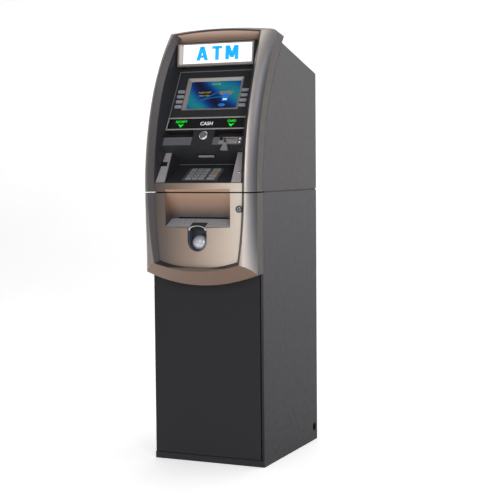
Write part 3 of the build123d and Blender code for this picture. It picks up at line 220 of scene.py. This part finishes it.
FINISHES = {
    # The plinth is the cabinet's grey paint, darkened as painted shade near the floor.
    "plinth_black": surface("plinth_black", srgb(48, 47, 51), shine=0.15, rough=0.55, bump=0.02, grain=150),
    "cabinet_grey": surface("cabinet_grey", srgb(98, 96, 99), shine=0.15, rough=0.5, bump=0.015, grain=150, vary=0.02, edge=0.3,
                            along=SIDE_PAINTED_SHADE),
    # The door is the cabinet's grey paint, darkened as painted shade on the front face.
    "door_grey": surface("door_grey", srgb(45, 45, 48), shine=0.15, rough=0.5, bump=0.015, grain=150, vary=0.02, edge=0.3),
    "housing_grey": surface("housing_grey", srgb(110, 108, 109), shine=0.15, rough=0.5, bump=0.015, grain=150, vary=0.02, edge=0.3,
                            along=HOUSING_PAINTED_SHADE),
    "zinc_steel": surface("zinc_steel", srgb(150, 150, 148), metallic=1.0, rough=0.4),
    "chassis_steel": surface("chassis_steel", srgb(176, 178, 180), metallic=1.0, rough=0.42, mottle=18),
    "grommet_rubber": surface("grommet_rubber", srgb(14, 14, 14), rough=0.7),
    "cassette_plastic": surface("cassette_plastic", srgb(46, 48, 54), rough=0.5),
    "roller_rubber": surface("roller_rubber", srgb(34, 34, 34), rough=0.75, bump=0.15),
    "electronics_metal": surface("electronics_metal", srgb(150, 152, 152), metallic=0.4, rough=0.45),
    "dial_black": surface("dial_black", srgb(30, 30, 30), rough=0.4),
    "handle_chrome": surface("handle_chrome", srgb(214, 214, 214), metallic=1.0, rough=0.14),
    # the frame's colours by facing are painted light and shade
    "champagne_frame": surface("champagne_frame", srgb(150, 138, 130), metallic=0.45, rough=0.36, grain=2400,
                               bump=0.02, vary=0.02, coat=0.1, edge=2.4, painted_light_by_facing=FRAME_PAINTED_LIGHT),
    "champagne_panel": surface("champagne_panel", srgb(170, 150, 136), metallic=0.45, rough=0.36, grain=2400,
                               bump=0.02, vary=0.02, coat=0.1, edge=1.6, along=PANEL_PAINTED_SHEEN),
    "scoop_brown": surface("scoop_brown", srgb(146, 116, 98), metallic=0.2, rough=0.4, along=SCOOP_PAINTED_SHADE),
    "tray_silver": surface("tray_silver", srgb(206, 210, 218), metallic=0.3, rough=0.3),
    "cup_dark": surface("cup_dark", srgb(86, 96, 108), metallic=0.3, rough=0.32),
    "lock_chrome": surface("lock_chrome", srgb(222, 222, 224), metallic=1.0, rough=0.2, edge=1.0),
    "console_charcoal": surface("console_charcoal", srgb(58, 59, 63), metallic=0.2, shine=0.15, rough=0.4, bump=0.04,
                                vary=0.03, edge=1.2),
    "bezel_grey": surface("bezel_grey", srgb(170, 166, 166), metallic=0.5, rough=0.35, edge=0.8),
    "screen_blue": surface("screen_blue", srgb(6, 10, 24), rough=0.2, coat=0.4),
    "band_black": surface("band_black", srgb(10, 10, 11), rough=0.2, coat=0.4, bump=0.0),
    "sign_black": surface("sign_black", srgb(158, 150, 148), metallic=0.5, rough=0.32, edge=1.2),
    "sign_white": surface("sign_white", srgb(250, 250, 250), rough=0.3, bump=0.0, vary=0.01, glow=0.6),
    "reader_silver": surface("reader_silver", srgb(176, 174, 176), metallic=0.6, rough=0.3, edge=1.0),
    "printer_grey": surface("printer_grey", srgb(64, 64, 66), rough=0.5),
    "paper_white": surface("paper_white", srgb(238, 238, 232), rough=0.8, bump=0.1),
    "keypad_steel": surface("keypad_steel", srgb(112, 114, 120), metallic=0.5, rough=0.38, edge=0.8),
    "key_grey": surface("key_grey", srgb(176, 178, 184), metallic=0.3, rough=0.4, edge=0.6),
    "key_cancel_red": surface("key_cancel_red", srgb(196, 164, 164), metallic=0.3, rough=0.4, edge=0.6),
    "key_clear_yellow": surface("key_clear_yellow", srgb(188, 184, 160), metallic=0.3, rough=0.4, edge=0.6),
    "key_enter_green": surface("key_enter_green", srgb(168, 186, 172), metallic=0.3, rough=0.4, edge=0.6),
    "function_key_grey": surface("function_key_grey", srgb(178, 180, 188), metallic=0.3, rough=0.36, edge=0.6),
}
for part in frame["record"]["subparts"]:
    mesh = nodes[part["node"]].data
    mesh.materials.clear()
    mesh.materials.append(FINISHES[part["material_slot"]])

LIT_CYAN = surface("lit_cyan", srgb(0, 164, 255), rough=0.4, bump=0.0, vary=0.02, glow=0.6)
LIT_GREEN = surface("lit_green", srgb(0, 215, 40), rough=0.4, bump=0.0, vary=0.02, glow=0.9)
LIT_WHITE = surface("lit_white", srgb(220, 228, 236), rough=0.4, bump=0.0, vary=0.02, glow=0.5)
LIT_YELLOW = surface("lit_yellow", srgb(170, 156, 14), rough=0.4, bump=0.0, vary=0.02, glow=0.5)
LIT_BLUE = surface("lit_blue", srgb(10, 104, 190), rough=0.4, bump=0.0, vary=0.02, glow=0.5)
LIT_PALE = surface("lit_pale", srgb(20, 84, 140), rough=0.4, bump=0.0, vary=0.02, glow=0.5)
LIT_GREY = surface("lit_grey", srgb(118, 112, 106), rough=0.4, bump=0.0, vary=0.02, glow=0.4)
RED_LAMP = surface("red_lamp", srgb(190, 24, 20), rough=0.2, bump=0.0, glow=0.5)
DARK_WINDOW = surface("dark_window", srgb(22, 26, 46), rough=0.1, bump=0.0, coat=1.0)
INK = surface("key_ink", srgb(48, 50, 56), rough=0.6, bump=0.0)
BLACK_TRIM = surface("black_trim", srgb(14, 14, 15), rough=0.35, bump=0.04)
BRIGHT_TRIM = surface("bright_trim", srgb(196, 192, 192), metallic=0.4, rough=0.3, bump=0.02)
# Painted highlight: a pale colour for thin strips along edges that catch the light.
EDGE_HIGHLIGHT_PAINT = surface("painted_edge_highlight", srgb(150, 152, 160), metallic=0.4, rough=0.35, bump=0.02)
PLATE_GREY = surface("plate_grey", srgb(116, 115, 121), metallic=0.3, rough=0.38, bump=0.02)
# Painted light: a much paler copy of the plate grey for the cheek plates, which sit in shade.
CHEEK_PLATE_PAINTED_LIGHT = surface("cheek_plate_painted_light", srgb(188, 183, 186), metallic=0.3, rough=0.38, bump=0.02)
# Painted reflection: a white-pink strip on the silver sign frame's left end.
PAINTED_SIGN_REFLECTION = surface("painted_sign_reflection", srgb(236, 226, 224), metallic=0.1, rough=0.4, bump=0.02)
# Painted glint: a warm highlight colour for the card reader's jaw.
READER_GLINT_PAINT = surface("painted_reader_glint", srgb(196, 160, 124), metallic=0.6, rough=0.3, bump=0.02)
PICTURE = picture_finish("screen_picture")


# ---- piece builders -----------------------------------------------------------------------------
def finish_piece(name, mesh, material, body):
    piece = bpy.data.objects.new(name, mesh)
    bpy.context.scene.collection.objects.link(piece)
    mesh.materials.clear()
    mesh.materials.append(material)
    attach(piece, body)
    return piece


def prism(name, plane, outline, low, high, material, body, slot=None, round_by=0.0):
    """An outline of (x, v) points on a plane, raised from height low to height high."""
    count = len(outline)
    points = [plane.at(x, v, height) for height in (low, high) for x, v in outline]
    faces = [tuple(reversed(range(count))), tuple(range(count, 2 * count))]
    faces += [(i, (i + 1) % count, count + (i + 1) % count, count + i) for i in range(count)]
    mesh = bpy.data.meshes.new(name)
    mesh.from_pydata(points, [], faces)
    piece = finish_piece(name, mesh, material, body)
    if round_by:
        edge = piece.modifiers.new("round", "BEVEL")
        edge.width = round_by * MM
        edge.segments = 2
    return piece


def bar(name, plane, x, v, low, high, material, body, slot=None, round_by=0.0):
    outline = [(x[0], v[0]), (x[1], v[0]), (x[1], v[1]), (x[0], v[1])]
    return prism(name, plane, outline, low, high, material, body, slot, round_by)


def turned(name, plane, centre, profile, material, body, steps=40, arc=(0, 360), squeeze=1.0):
    """A (radius, height) profile turned about the plane's normal; squeeze flattens it along v."""
    whole = arc[1] - arc[0] >= 360
    turns = steps if whole else steps + 1
    points, faces = [], []
    for step in range(turns):
        a = radians(arc[0] + (arc[1] - arc[0]) * step / steps)
        for radius, height in profile:
            points.append(plane.at(centre[0] + radius * cos(a), centre[1] + radius * sin(a) * squeeze, height))
    rows = len(profile)
    for step in range(steps):
        for row in range(rows - 1):
            here = step * rows + row
            there = ((step + 1) % turns) * rows + row
            faces.append((here, there, there + 1, here + 1))
    mesh = bpy.data.meshes.new(name)
    mesh.from_pydata(points, [], faces)
    mesh.polygons.foreach_set("use_smooth", [True] * len(mesh.polygons))
    mesh.validate()
    return finish_piece(name, mesh, material, body)


def tube_profile(radius, thick, height):
    """A closed round section, for rings."""
    return [(radius + thick * cos(a), height + thick * sin(a)) for a in [2 * pi * i / 10 for i in range(11)]]


def words(name, text, plane, centre, size, low, high, material, body):
    """Plain lettering, centred, raised off a plane."""
    curve = bpy.data.curves.new(name, "FONT")
    curve.body = text
    curve.size = size * MM
    curve.align_x = "CENTER"
    curve.align_y = "CENTER"
    curve.offset = 0.012 * size * MM
    curve.extrude = (high - low) / 2 * MM
    curve.resolution_u = 3
    holder = bpy.data.objects.new(name + "_curve", curve)
    bpy.context.scene.collection.objects.link(holder)
    bpy.context.view_layer.update()
    mesh = bpy.data.meshes.new_from_object(holder.evaluated_get(bpy.context.evaluated_depsgraph_get()))
    bpy.data.objects.remove(holder)
    mesh.name = name
    mesh.transform(plane.matrix(*centre, (low + high) / 2))
    return finish_piece(name, mesh, material, body)


def stroke(name, plane, start, end, wide, low, high, material, body):
    """A straight stroke with ends cut level, as in a bold letter."""
    half = wide / 2
    outline = [(start[0] - half, start[1]), (start[0] + half, start[1]), (end[0] + half, end[1]), (end[0] - half, end[1])]
    return prism(name, plane, outline, low, high, material, body)


# ---- sign ---------------------------------------------------------------------------------------
LETTER_V = (18.0, 64.5)
LETTER_WIDE = 13.5
SIGN_LIFT = (-1.2, -0.6)


def letter(name, centre, strokes):
    for i, (start, end) in enumerate(strokes):
        stroke(f"sign_{name}_{i}", SIGN, (centre + start[0], start[1]), (centre + end[0], end[1]), LETTER_WIDE,
               *SIGN_LIFT, LIT_CYAN, "upper_fascia")


low, high = LETTER_V
letter("a", -47, [((-15, low), (-1, high)), ((15, low), (1, high))])
bar("sign_a_bar", SIGN, (-57, -37), (low + 9, low + 17), *SIGN_LIFT, LIT_CYAN, "upper_fascia")
letter("t", 7, [((0, low), (0, high))])
bar("sign_t_bar", SIGN, (-11.5, 25.5), (high - 9, high), *SIGN_LIFT, LIT_CYAN, "upper_fascia")
letter("m", 61, [((-17, low), (-17, high)), ((17, low), (17, high)), ((0, low + 7), (-14, high)), ((0, low + 7), (14, high))])
# painted reflection on the left end of the silver sign frame
bar("sign_reflection_strip", SIGN, (-132, -116), (9.2, 71.8), -1.1, 0.6, PAINTED_SIGN_REFLECTION, "upper_fascia", round_by=0.4)

# ---- soffit over the sign -----------------------------------------------------------------------
SOFFIT_TOP = (-100.0, 1431.0)  # (y, z) under the crest
SOFFIT_FALL = 0.85  # how far it falls per millimetre towards the rear


def soffit_point(x, y, drop):
    """A point on the arched soffit, dropped below it."""
    return Vector((x, y, SOFFIT_TOP[1] - SOFFIT_FALL * (y - SOFFIT_TOP[0]) - 10 * (x / 160) ** 2 - drop)) * MM


across = [-157 + 314 * i / 24 for i in range(25)]
soffit_rows = ((-97.5, 0.3), (-47, 0.3), (-47, -0.7), (-97.5, -0.7))  # (y, drop)
# Painted light: a pale warm brown sheet laid just under the frame's downward-facing soffit, far paler than the frame's
# own paint.
soffit_mesh = bpy.data.meshes.new("soffit_light_sheet")
soffit_mesh.from_pydata(
    [soffit_point(x, y, drop) for x in across for y, drop in soffit_rows], [],
    [(4 * i + k, 4 * i + (k + 1) % 4, 4 * i + 4 + (k + 1) % 4, 4 * i + 4 + k) for i in range(24) for k in range(4)]
    + [(3, 2, 1, 0), (96, 97, 98, 99)])
finish_piece("soffit_light_sheet", soffit_mesh, surface("soffit_painted_light", srgb(238, 203, 183), rough=0.5, bump=0.0),
             "upper_fascia")

# ---- screen -------------------------------------------------------------------------------------
SCREEN = -8.6
bar("screen_picture", FACE, (-89.6, 89.6), (142.8, 244.1), SCREEN, SCREEN + 0.1, PICTURE, "upper_fascia")


def sweep(name, points, wide, material):
    """A tapering ribbon through (x, v) points on the screen."""
    upper, lower = [], []
    last = len(points) - 1
    for i, (x, v) in enumerate(points):
        half = wide / 2 * sin(pi * (i + 0.3) / (last + 0.6))
        upper.append((x, v + half))
        lower.append((x, v - half))
    prism(name, FACE, lower + list(reversed(upper)), SCREEN + 0.1, SCREEN + 0.16, material, "upper_fascia")


sweep("screen_sweep_high", [(x, 190 + 30 * sin(radians(x * 1.0 + 10))) for x in range(-88, 90, 8)], 5, LIT_PALE)
sweep("screen_sweep_low", [(x, 172 + 12 * sin(radians(x * 1.5 + 60))) for x in range(-88, 90, 8)], 4, LIT_PALE)
words("screen_title", "WELCOME", FACE, (2, 233), 6.5, SCREEN + 0.2, SCREEN + 0.3, LIT_YELLOW, "upper_fascia")
words("screen_line_1", "PLEASE INSERT", FACE, (-34, 202), 7, SCREEN + 0.2, SCREEN + 0.3, LIT_YELLOW, "upper_fascia")
words("screen_line_2", "YOUR CARD", FACE, (-34, 190), 7, SCREEN + 0.2, SCREEN + 0.3, LIT_YELLOW, "upper_fascia")
prism("screen_slot_icon", FACE, [(18, 206), (70, 206), (64, 192), (56, 192), (56, 184), (32, 184), (32, 192), (24, 192)],
      SCREEN + 0.2, SCREEN + 0.3, LIT_GREY, "upper_fascia")
bar("screen_card_icon", FACE, (33, 55), (168, 196), SCREEN + 0.3, SCREEN + 0.4, LIT_BLUE, "upper_fascia")
bar("screen_card_chip", FACE, (37, 51), (172, 178), SCREEN + 0.4, SCREEN + 0.5, LIT_WHITE, "upper_fascia")
turned("screen_button_icon", FACE, (36, 154), [(0, SCREEN + 0.3), (13, SCREEN + 0.3), (13, SCREEN + 0.1)], LIT_BLUE,
       "upper_fascia", squeeze=0.45)
# Painted highlights: thin pale strips along the screen panel's top and left rims.
TRIM = (0.1, 1.0)
bar("panel_top_highlight", FACE, (-138, 138), (277.6, 280.2), *TRIM, EDGE_HIGHLIGHT_PAINT, "upper_fascia")
prism("panel_left_highlight", FACE, [(-141.5, 103), (-139, 103), (-135.6, 277.6), (-138, 277.6)], *TRIM, EDGE_HIGHLIGHT_PAINT, "upper_fascia")
bar("band_rim_top", FACE, (-141.5, 142), (98.2, 103), 0.1, 1.9, BRIGHT_TRIM, "upper_fascia", round_by=0.4)
bar("band_rim_bottom", FACE, (-142.5, 142.5), (56.6, 60.9), 0.1, 1.9, BRIGHT_TRIM, "upper_fascia", round_by=0.4)
prism("band_rim_left", FACE, [(-142.5, 60.9), (-139, 60.9), (-138, 98.2), (-141.5, 98.2)], -0.4, 1.9, BRIGHT_TRIM,
      "upper_fascia")

# ---- lit band -----------------------------------------------------------------------------------
BAND = (-0.5, -0.2)
for side, text in ((-1, "RECEIPT"), (1, "CARD")):
    centre = side * 91.0
    words(f"label_{text.lower()}", text, FACE, (centre, 87.5), 11.5, *BAND, LIT_GREEN, "upper_fascia")
    prism(f"arrow_{text.lower()}", FACE, [(centre - 11, 79.5), (centre, 67), (centre + 11, 79.5), (centre, 75.5)], *BAND,
          LIT_GREEN, "upper_fascia")
words("band_word", "CASH", FACE, (2, 79), 18, *BAND, LIT_WHITE, "upper_fascia")

# ---- console details ----------------------------------------------------------------------------
bar("ledge_plate_left", FACE, (-141, -38.5), (0.5, 27.9), 0.1, 0.5, PLATE_GREY, "upper_fascia")
bar("ledge_plate_right", FACE, (38.5, 141), (0.5, 27.9), -0.6, 0.05, PLATE_GREY, "upper_fascia")
# painted highlight along the top edge of the left ledge plate
bar("ledge_left_highlight", FACE, (-141, -38.5), (26.2, 28.2), 0.5, 0.9, EDGE_HIGHLIGHT_PAINT, "upper_fascia")
# painted shadow: a black sheet behind the lamp bar that shows mostly above it
bar("lamp_bar_shadow", OVERHANG, (-32, 32), (36, 52), -1.0, 0.4, BLACK_TRIM, "upper_fascia")
bar("lamp_bar", OVERHANG, (-30, 27), (37.5, 46.5), 0.4, 2.4, BRIGHT_TRIM, "upper_fascia", round_by=0.8)
# painted highlight on the raised lip at the back of the keypad shelf
bar("shelf_back_highlight", SHELF, (-118, 118), (117.6, 120.2), 0.1, 1.2, EDGE_HIGHLIGHT_PAINT, "upper_fascia")
# the cheek plates carry painted light in a paler copy of the plate grey
prism("cheek_plate_left", CHEEK, [(-153, 1.5), (-119, 1.5), (-119, 112), (-142, 112)], 0.1, 0.6, CHEEK_PLATE_PAINTED_LIGHT, "upper_fascia")
prism("cheek_plate_right", CHEEK, [(153, 1.5), (142, 112), (119, 112), (119, 1.5)], 0.1, 0.6, CHEEK_PLATE_PAINTED_LIGHT, "upper_fascia")
# painted highlight along the inner edge of the left cheek
prism("cheek_left_highlight", CHEEK, [(-120.6, 1.5), (-119, 1.5), (-119, 112), (-120.6, 112)], 0.6, 1.1, EDGE_HIGHLIGHT_PAINT, "upper_fascia")
bar("cheek_window", CHEEK, (-150, -126), (62, 78), 0.7, 1.4, DARK_WINDOW, "upper_fascia", round_by=0.3)
turned("cheek_lamp", CHEEK, (-137, 88), [(0, 1.8), (1.6, 1.5), (2.2, 0.6)], RED_LAMP, "upper_fascia", steps=20)
turned("headphone_socket", CHEEK, (140, 42), [(2.6, -0.6), (2.6, 2.2), (4.6, 2.6), (6.5, 1.3), (6.5, 0.5)],
       FINISHES["lock_chrome"], "upper_fascia", steps=32)
turned("headphone_socket_hole", CHEEK, (140, 42), [(0, 0.8), (2.6, 0.8)], BLACK_TRIM, "upper_fascia", steps=24)
prism("reader_fork", FACE, [(80.6, 7.6), (91.4, 7.6), (87.6, 14.5), (91.4, 21.4), (80.6, 21.4), (84.4, 14.5)], 3.05, 3.6,
      BLACK_TRIM, "upper_fascia")
bar("reader_mouth", FACE, (70.4, 117.6), (13.6, 15.4), 2.0, 2.6, BLACK_TRIM, "upper_fascia")
# painted glint: a warm highlight strip on the reader's jaw
bar("reader_glint", FACE, (95, 119), (17.0, 19.6), 13.02, 13.3, READER_GLINT_PAINT, "upper_fascia")
bar("reader_shade", FACE, (68.5, 80), (9, 20), 13.02, 13.3, BLACK_TRIM, "upper_fascia")
for v in (21.0, 9.0):
    turned(f"reader_lamp_{int(v)}", FACE, (134, v), [(0, 1.6), (2.2, 1.3), (2.8, 0.1)], LIT_WHITE, "upper_fascia", steps=24)

# ---- key legends --------------------------------------------------------------------------------
KEY_X = (-41.5, -18.0, 5.6, 40.0)
KEY_V = [22.75 + 18.3 * row for row in range(4)]
LEGENDS = (("1", "2", "3", "X"), ("4", "5", "6", "<"), ("7", "8", "9", "O"), ("*", "0", "#", "-"))
for row, (v, marks) in enumerate(zip(reversed(KEY_V), LEGENDS), start=1):
    for column, (x, mark) in enumerate(zip(KEY_X, marks), start=1):
        words(f"key_legend_{row}_{column}", mark, SHELF, (x, v), 8.5, 5.95, 6.06, INK, f"keypad_key_{row}_{column}")

# ---- lower fascia details -----------------------------------------------------------------------
PROFILE = Flat((0, FRONT, 0), (0, -1, 0), (0, 0, 1))  # its x is the depth in front of the cabinet
SCOOP_ARC = ((78.0, 915.0), (47.0, 868.0), (23.5, 811.0))


def depth_on_arc(z):
    """How far in front of the cabinet the scoop's hollowed back lies at height z."""
    (ax, az), (bx, bz), (cx, cz) = SCOOP_ARC
    twice = 2 * (ax * (bz - cz) + bx * (cz - az) + cx * (az - bz))
    aa, bb, cc = ax * ax + az * az, bx * bx + bz * bz, cx * cx + cz * cz
    x = (aa * (bz - cz) + bb * (cz - az) + cc * (az - bz)) / twice
    y = (aa * (cx - bx) + bb * (ax - cx) + cc * (bx - ax)) / twice
    sign = 1 if bx > x else -1
    return x + sign * (hypot(ax - x, az - y) ** 2 - (z - y) ** 2) ** 0.5


brow = [(depth_on_arc(z), z) for z in (900.6, 903, 905.5, 908)]
prism("scoop_brow", PROFILE, [(d + 0.1, z) for d, z in brow] + [(d + 0.4, z) for d, z in reversed(brow)], -115.4, 115.4,
      surface("brow_brown", srgb(178, 141, 116), metallic=0.2, rough=0.4), "upper_fascia")
LOCK = (147, 845)
turned("fascia_lock_ring", UPRIGHT, LOCK, [(7.6, 66), (7.6, 71.2), (9.4, 72.6), (11.4, 70.6), (11.4, 66)],
       FINISHES["cup_dark"], "lower_fascia")
turned("fascia_lock_slot", UPRIGHT, LOCK, [(0, 70.15), (2.2, 70.15), (2.2, 70.0)], BLACK_TRIM, "lower_fascia_lock",
       steps=20)
turned("notch_dome", UPRIGHT, (0, 734), [(0, 67), (8, 66.4), (15, 64.5), (21, 61), (26, 55.5), (29, 47)],
       FINISHES["tray_silver"], "lower_fascia", squeeze=0.86)
turned("tray_arch", UPRIGHT, (0, 775), tube_profile(30, 2.8, 70), FINISHES["tray_silver"], "lower_fascia",
       arc=(0, 180), squeeze=0.5)
# painted shade: a black half-ellipse for the dark hollow under the tray's rim
turned("tray_hole_shade", UPRIGHT, (0, 775), [(0, 69.2), (21, 69.2)], BLACK_TRIM, "lower_fascia", arc=(0, 180), squeeze=0.55)

TRAY_BACK, TRAY_FRONT = (24.8, 811.2), (70.2, 786.9)  # ends of the slope, as (depth, z)


def on_tray(share, lift):
    """A point this share of the way down the tray's slope, lifted off it."""
    return tuple(b + (f - b) * share + lift * n for b, f, n in zip(TRAY_BACK, TRAY_FRONT, (0.47, 0.88)))


for side, reach, ends in (("left", (28, 115), (0, 1)), ("right", (-115, -28), (0, 1)), ("back", (-28, 28), (0, 0.47))):
    outline = [on_tray(ends[0], 0.1), on_tray(ends[1], 0.1), on_tray(ends[1], 0.5), on_tray(ends[0], 0.5)]
    prism(f"tray_face_{side}", PROFILE, outline, *reach, FINISHES["tray_silver"], "lower_fascia", "tray_silver")

# ---- floor and backdrop -------------------------------------------------------------------------
STAGE_PROFILE = [(-7.0, 0.0), (2.6, 0.0)]
STAGE_PROFILE += [(2.6 + 1.2 * sin(a), 1.2 - 1.2 * cos(a)) for a in [radians(9 * i) for i in range(1, 11)]]
STAGE_PROFILE.append((3.8, 6.0))
stage_points = [(x, y, z) for x in (-8.0, 8.0) for y, z in STAGE_PROFILE]
rows = len(STAGE_PROFILE)
stage_mesh = bpy.data.meshes.new("studio")
stage_mesh.from_pydata(stage_points, [], [(i, rows + i, rows + i + 1, i + 1) for i in range(rows - 1)])
stage_mesh.polygons.foreach_set("use_smooth", [True] * (rows - 1))
studio = bpy.data.objects.new("studio", stage_mesh)
bpy.context.scene.collection.objects.link(studio)
stage_mesh.materials.append(surface("studio_white", (0.86, 0.86, 0.86), rough=0.7, bump=0.01, vary=0.01, glow=0.62))

# ---- light --------------------------------------------------------------------------------------


def softbox(name, spot, aim, wide, tall, power, tint=(1, 1, 1)):
    lamp = bpy.data.lights.new(name, "AREA")
    lamp.shape = "RECTANGLE"
    lamp.size = wide
    lamp.size_y = tall
    lamp.energy = power
    lamp.color = tint
    holder = bpy.data.objects.new(name, lamp)
    holder.location = spot
    holder.rotation_mode = "QUATERNION"
    holder.rotation_quaternion = (Vector(aim) - Vector(spot)).to_track_quat("-Z", "Y")
    bpy.context.scene.collection.objects.link(holder)


softbox("key_right", (3.0, -3.4, 2.0), (0, 0, 1.0), 1.2, 2.0, 50, (1.0, 0.985, 0.97))
softbox("front", (-0.6, -4.6, 2.4), (0, 0, 0.9), 1.6, 1.6, 26, (1.0, 0.97, 0.93))
softbox("side", (4.4, 0.4, 3.0), (0, 0, 1.4), 2.0, 2.0, 24)
softbox("left", (-3.4, -0.9, 1.5), (0, 0, 0.8), 0.8, 2.4, 16, (0.96, 0.98, 1.0))
softbox("top", (0.3, 0.8, 4.2), (0, 0, 0.8), 3.0, 3.0, 36)

world = bpy.data.worlds.new("studio_air")
bpy.context.scene.world = world
world.use_nodes = True
world.node_tree.nodes["Background"].inputs["Color"].default_value = (1, 1, 1, 1)
world.node_tree.nodes["Background"].inputs["Strength"].default_value = 0.16
bpy.context.scene.view_settings.view_transform = "Standard"

# ---- camera -------------------------------------------------------------------------------------
YAW, PITCH, ROLL = radians(-23.866), radians(-3.932), radians(-0.478)
ahead = Vector((sin(YAW) * cos(PITCH), cos(YAW) * cos(PITCH), sin(PITCH)))
level = ahead.cross(Vector((0, 0, 1))).normalized()
upward = level.cross(ahead)
right = level * cos(ROLL) + upward * sin(ROLL)
up = upward * cos(ROLL) - level * sin(ROLL)
camera_data = bpy.data.cameras.new("camera")
camera_data.lens = 90.86
camera_data.sensor_width = 36.0
camera = bpy.data.objects.new("camera", camera_data)
bpy.context.scene.collection.objects.link(camera)
turn = Matrix((right, up, -ahead)).transposed().to_4x4()
camera.matrix_world = Matrix.Translation(Vector((1.8013, -3.9212, 0.9905))) @ turn
bpy.context.scene.camera = camera
